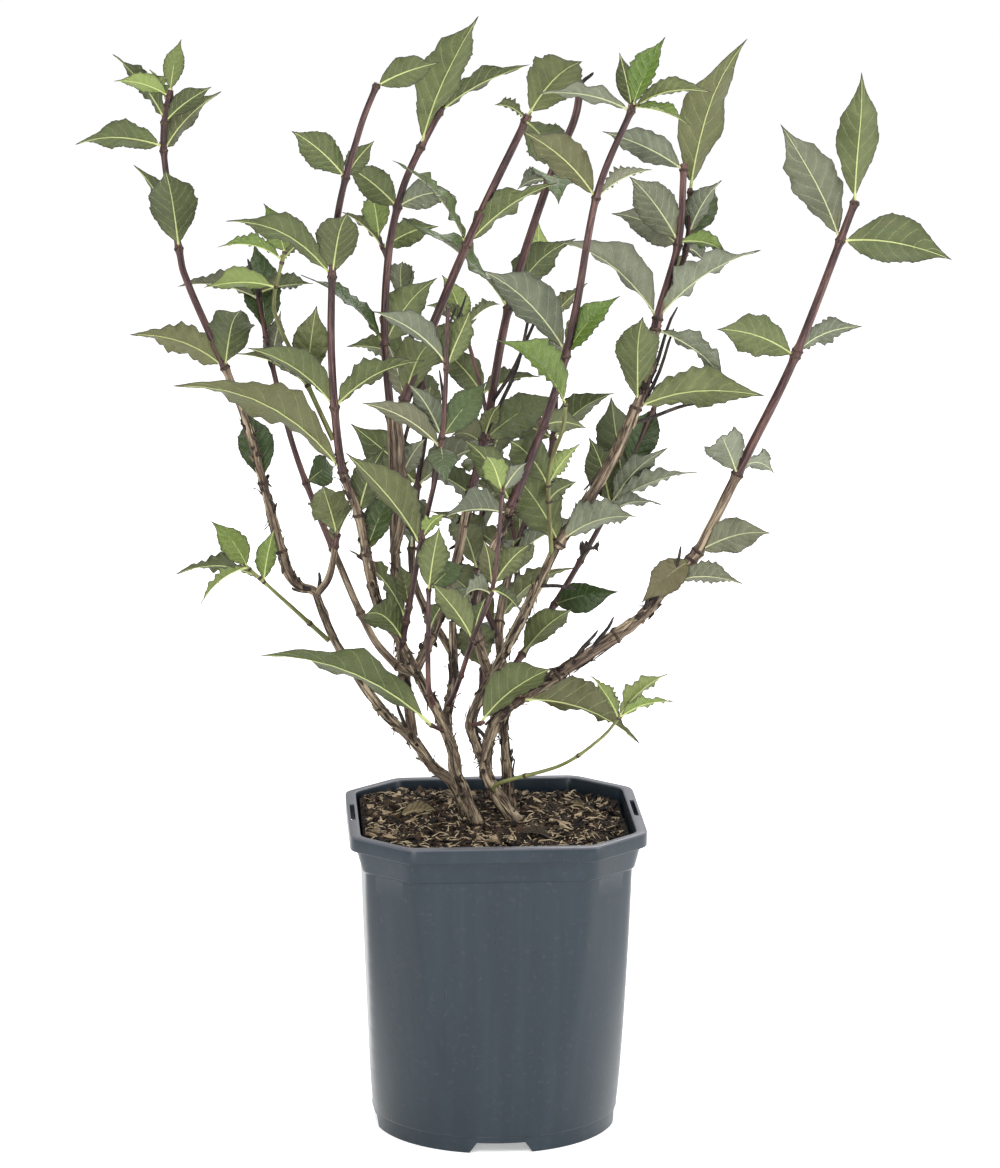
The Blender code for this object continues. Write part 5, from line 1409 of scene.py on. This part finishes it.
# What every blade has over its base colour
bladeSkin = dict(
    cloud=60.0, fine=420.0, net=330.0, netWidth=0.16, fleck=95.0, fleckColour=(0.11, 0.075, 0.035),
    tipColour=(0.035, 0.028, 0.018), footColour=(0.230, 0.250, 0.085), warmColour=(0.128, 0.108, 0.054),
    edgePaintedShade=0.42, leafShade=0.60, relief=0.55, reliefDepth=0.0010,
)


# A blade by its own place, share along and share across: clouds, furrows where the side veins run, a fine net
# between them, flecks, a darker edge that is painted shade of the curled margin, a darker tip, a paler foot,
# and a tone of its own to each leaf
def leafPaint(name, colour, contrast, roughness, fleck):
    paint = Paint(name, roughness=roughness, specular=0.32)
    own = paint.ownPlace()
    along, across, hue = [paint.node("ShaderNodeSeparateXYZ", None, [own], part) for part in range(3)]
    out = paint.curve("ABSOLUTE", across)
    sweep = paint.curve("POWER", out, leafShape["veinBend"]) * leafShape["veinSweep"]
    furrow = paint.curve("ABSOLUTE", paint.curve("SINE", (along - sweep) * (math.pi * leafShape["veins"])))
    cloud = paint.noise(bladeSkin["cloud"], 4.0, roughness=0.6)
    fine = paint.noise(bladeSkin["fine"], 4.0, roughness=0.6)
    values = {"Vector": paint.place(), "Scale": bladeSkin["net"]}
    net = paint.node("ShaderNodeTexVoronoi", {"feature": "DISTANCE_TO_EDGE"}, values)
    cell = paint.range(net, 0.0, bladeSkin["netWidth"])
    deep, pale = toned(colour, 1 - contrast), toned(colour, 1 + contrast * 1.2)
    layers = [
        (paint.range(furrow, 0.35, 1.0) * 0.45, deep),
        ((1.0 - paint.range(furrow, 0.04, 0.40)) * 0.40, pale),
        ((1.0 - cell) * 0.28, pale),
        (paint.range(fine, 0.40, 0.65) * 0.30, deep),
    ]
    if fleck:
        spots = paint.range(paint.noise(bladeSkin["fleck"], 3.0, roughness=0.5), 0.64, 0.74)
        layers.append((spots * fleck, bladeSkin["fleckColour"]))
    layers += [
        # Darker band along the edge: painted shade of the curled margin
        (paint.range(out, 0.72, 1.0) * 0.50, toned(colour, bladeSkin["edgePaintedShade"])),
        (paint.range(along, 0.88, 1.0) * 0.55, bladeSkin["tipColour"]),
        (paint.range(along, 0.16, 0.0) * 0.40, bladeSkin["footColour"]),
        (paint.range(hue, 0.5, 0.0) * 0.42, toned(colour, bladeSkin["leafShade"])),
        (paint.range(hue, 0.6, 1.0) * 0.42, bladeSkin["warmColour"]),
    ]
    mixed = paint.mix(paint.range(cloud, 0.34, 0.66), deep, pale)
    for share, tint in layers:
        mixed = paint.mix(share, mixed, tint)
    paint.set("Base Color", mixed)
    paint.bump(furrow * 0.7 + cell * 0.3 + fine * 0.25, bladeSkin["relief"], bladeSkin["reliefDepth"])
    return paint


# One colour, a little lighter and darker in clouds
def plainPaint(name, colour, roughness=0.6):
    paint = Paint(name, roughness=roughness, specular=0.35)
    paint.set("Base Color", paint.mix(paint.noise(150.0), toned(colour, 0.82), toned(colour, 1.15)))
    return paint


# Tones of leaf: three shades of the underside, then of the upper side, each side with its contrast,
# roughness and flecks; the colours of the midrib and the side veins
leafTones = {
    "old": (
        ("undersideOlive", ((0.079, 0.098, 0.034), (0.101, 0.12, 0.043), (0.064, 0.078, 0.028)),
            0.28, 0.56, 0.3),
        ("upperGreen", ((0.068, 0.098, 0.03), (0.082, 0.112, 0.038), (0.056, 0.084, 0.026)), 0.2, 0.46, 0.3),
        ("midribPale", (0.4, 0.44, 0.18)), ("veinOlive", (0.165, 0.192, 0.08)),
    ),
    "grey": (
        ("undersideGrey", ((0.132, 0.147, 0.098), (0.155, 0.17, 0.116), (0.11, 0.124, 0.08)),
            0.24, 0.6, 0.15),
        ("upperGrey", ((0.085, 0.112, 0.052), (0.098, 0.126, 0.062), (0.072, 0.098, 0.044)), 0.15, 0.5, 0.2),
        ("midribGrey", (0.42, 0.44, 0.25)), ("veinGrey", (0.218, 0.24, 0.152)),
    ),
    "dark": (
        ("undersideDark", ((0.094, 0.11, 0.046), (0.11, 0.124, 0.054), (0.078, 0.092, 0.04)), 0.2, 0.56, 0.3),
        ("upperDark", ((0.042, 0.068, 0.019), (0.052, 0.078, 0.023), (0.034, 0.058, 0.016)), 0.22, 0.44, 0.3),
        ("midribDark", (0.32, 0.36, 0.15)), ("veinDark", (0.105, 0.13, 0.05)),
    ),
    "dying": (
        ("undersideDying", ((0.12, 0.11, 0.075),) * 3, 0.3, 0.62, 0.8),
        ("upperDying", ((0.07, 0.064, 0.026),) * 3, 0.35, 0.55, 1.0),
        ("midribDying", (0.24, 0.2, 0.12)), ("veinDying", (0.11, 0.085, 0.05)),
    ),
    "dried": (
        ("undersideDried", ((0.03, 0.02, 0.017),) * 3, 0.3, 0.7, 0),
        ("upperDried", ((0.024, 0.016, 0.014),) * 3, 0.3, 0.7, 0),
        ("midribDried", (0.06, 0.042, 0.034)), ("veinDried", (0.04, 0.028, 0.024)),
    ),
    "litter": (
        ("undersideLitter", ((0.23, 0.19, 0.1),) * 3, 0.25, 0.75, 0),
        ("upperLitter", ((0.2, 0.16, 0.085),) * 3, 0.25, 0.75, 0),
        ("midribLitter", (0.33, 0.27, 0.16)), ("veinLitter", (0.25, 0.2, 0.115)),
    ),
    "young": (
        ("undersideYoung", ((0.17, 0.23, 0.06), (0.196, 0.252, 0.072), (0.146, 0.205, 0.052)), 0.16, 0.5, 0),
        ("upperYoung", ((0.12, 0.185, 0.036), (0.14, 0.205, 0.044), (0.102, 0.164, 0.031)), 0.16, 0.4, 0),
        ("midribYoung", (0.4, 0.46, 0.17)), ("veinYoung", (0.215, 0.28, 0.085)),
    ),
}


# One paint for each shade of a tone
def shades(name, colours, *rest):
    return [leafPaint(name + str(number), colour, *rest) for number, colour in enumerate(colours)]


# Stage, light and camera
studio = dict(
    camera=(-0.174, -2.995, 0.980), heading=3.40, down=11.74, lens=171.9,
    lights=(
        ("key", (-0.8, -2.2, 2.5), (1.2, 1.2), 52.0), ("side", (1.9, -0.9, 0.7), (0.9, 1.4), 28.0),
        ("strip", (-0.75, -2.3, 0.30), (0.06, 0.6), 15.0), ("back", (0.7, 2.3, 1.9), (1.2, 1.2), 22.0),
        ("top", (0.1, 0.4, 2.8), (1.8, 1.8), 46.0),
    ),
    farEnd=30.0, aim=(0.0, 0.0, 0.4), sky=0.70,
    floorReach=14.0, floorSides=64, floorGlow=0.36, floorTone=0.92,
)


# The floor is a flat round fan about its middle
def makeStage():
    sides = studio["floorSides"]
    angle, corner = ringAngles(sides), np.arange(sides)
    rim = np.stack([np.cos(angle), np.sin(angle), angle * 0], -1) * studio["floorReach"] / mm
    fan = np.stack([corner, (corner + 1) % sides, np.full(sides, sides)], -1)
    floor = makePiece("floor", np.concatenate([rim, rim[:1] * 0]), [fan], floorPaint)


# Soft area lights turned to one point, and an even sky
def makeLights():
    world = bpy.data.worlds.new("studioSky")
    bpy.context.scene.world = world
    world.use_nodes = True
    sky = world.node_tree.nodes["Background"]
    sky.inputs["Color"].default_value = (1, 1, 1, 1)
    sky.inputs["Strength"].default_value = studio["sky"]
    for name, place, size, power in studio["lights"]:
        data = bpy.data.lights.new(name, "AREA")
        data.shape, data.energy = "RECTANGLE", power
        data.size, data.size_y = size
        lamp = bpy.data.objects.new(name, data)
        bpy.context.scene.collection.objects.link(lamp)
        lamp.location = place
        aim = np.array(studio["aim"]) - np.array(place)
        down, turn = math.acos(-aim[2] / np.linalg.norm(aim)), math.atan2(aim[1], aim[0]) - math.pi / 2
        lamp.rotation_euler = (down, 0.0, turn)


# The camera's heading is from straight back towards +X, and it looks down by its other angle
def makeCamera():
    data = bpy.data.cameras.new("camera")
    data.sensor_fit, data.sensor_width, data.lens = "HORIZONTAL", 36.0, studio["lens"]
    data.clip_end = studio["farEnd"]
    camera = bpy.data.objects.new("camera", data)
    bpy.context.scene.collection.objects.link(camera)
    camera.location = studio["camera"]
    camera.rotation_euler = (math.radians(90 - studio["down"]), 0.0, -math.radians(studio["heading"]))
    bpy.context.scene.camera = camera


plasticPaint = makePlasticPaint()
compostShadePaint = makeCompostPaint()
barkPaints = {name: barkLike(name, *tone) for name, tone in barkTones.items()}
barkPaint, deadPaint, collarPaint = [barkPaints[name] for name in ("peelingBark", "deadWood", "nodeCollar")]
peelingPaints = {
    "stripsBrown": barkPaints["stripBrown"], "stripsStraw": barkPaints["stripStraw"],
    "stripsDark": barkPaints["stripDark"], "flakesDark": barkPaints["stripDark"],
    "flakesStraw": barkPaints["stripBrown"],
}
canePaints = {kind: barkPaints["cane" + kind.capitalize()] for kind in ("wood", "purple", "fresh")}
leafPaints = {
    tone: dict(under=shades(*under), upper=shades(*upper), midrib=plainPaint(*midrib), vein=plainPaint(*vein))
    for tone, (under, upper, midrib, vein) in leafTones.items()
}
# The dark cord along each leaf edge: a painted shade line where the edge curls away
marginShadePaint = plainPaint("leafMarginShade", (0.044, 0.038, 0.036), 0.7)
budPaint = plainPaint("budScale", (0.120, 0.085, 0.042), 0.6)
# The darkest chip tone is dark bark painted near black as shade of the gaps among the chips
chipPaints = (
    litterPaint("chipDarkAndShade", (0.003, 0.002, 0.0015), (0.014, 0.009, 0.006)),
    litterPaint("chipBrown", (0.018, 0.010, 0.006), (0.070, 0.044, 0.026)),
    litterPaint("chipTan", (0.150, 0.105, 0.062), (0.380, 0.295, 0.190)),
)
fibrePaint = litterPaint("straw", (0.230, 0.175, 0.105), (0.560, 0.460, 0.310))
fibreDarkPaint = litterPaint("darkFibre", (0.022, 0.014, 0.009), (0.070, 0.046, 0.029))
floorPaint = Paint("paleFloor", roughness=0.9, specular=0.1, **{"Emission Strength": studio["floorGlow"]})
floorPaint.set("Base Color", (studio["floorTone"],) * 3)

makePot()
print("pot done")
makeCompost()
chipRanges = (compost["chipLength"], compost["chipWidth"], compost["chipThickness"])
crumbRanges = (compost["crumbSize"],) * 3
# Dark chips and crumbs: dark bark with painted shade of the gaps among the chips
makeChips("chipsDarkAndShade", compost["chips"], chipRanges, chipPaints[0], 1)
makeChips("chipsBrown", compost["chips"] // 2, chipRanges, chipPaints[1], 2)
makeChips("chipsTan", compost["chips"] // 4, chipRanges, chipPaints[2], 3)
makeChips("crumbsDarkAndShade", compost["crumbs"], crumbRanges, chipPaints[0], 4)
makeChips("crumbsBrown", compost["crumbs"], crumbRanges, chipPaints[1], 5)
makeFibres("fibresPale", compost["fibres"], fibrePaint, 6)
makeFibres("fibresDark", compost["fibres"], fibreDarkPaint, 7)
print("compost done")
stems, canes = growPlant()
makeStems(stems)
makePeelings(stems, canes)
makeCaneTubes(canes)
makeStubs(stems, canes)
makeCollars(canes)
print("limbs done")
records = leafRecords(canes)
makeLeaves(records)
makeBuds(records)
print("leaves done")
makeStage()
makeLights()
makeCamera()
bpy.context.scene.view_settings.view_transform = "Standard"
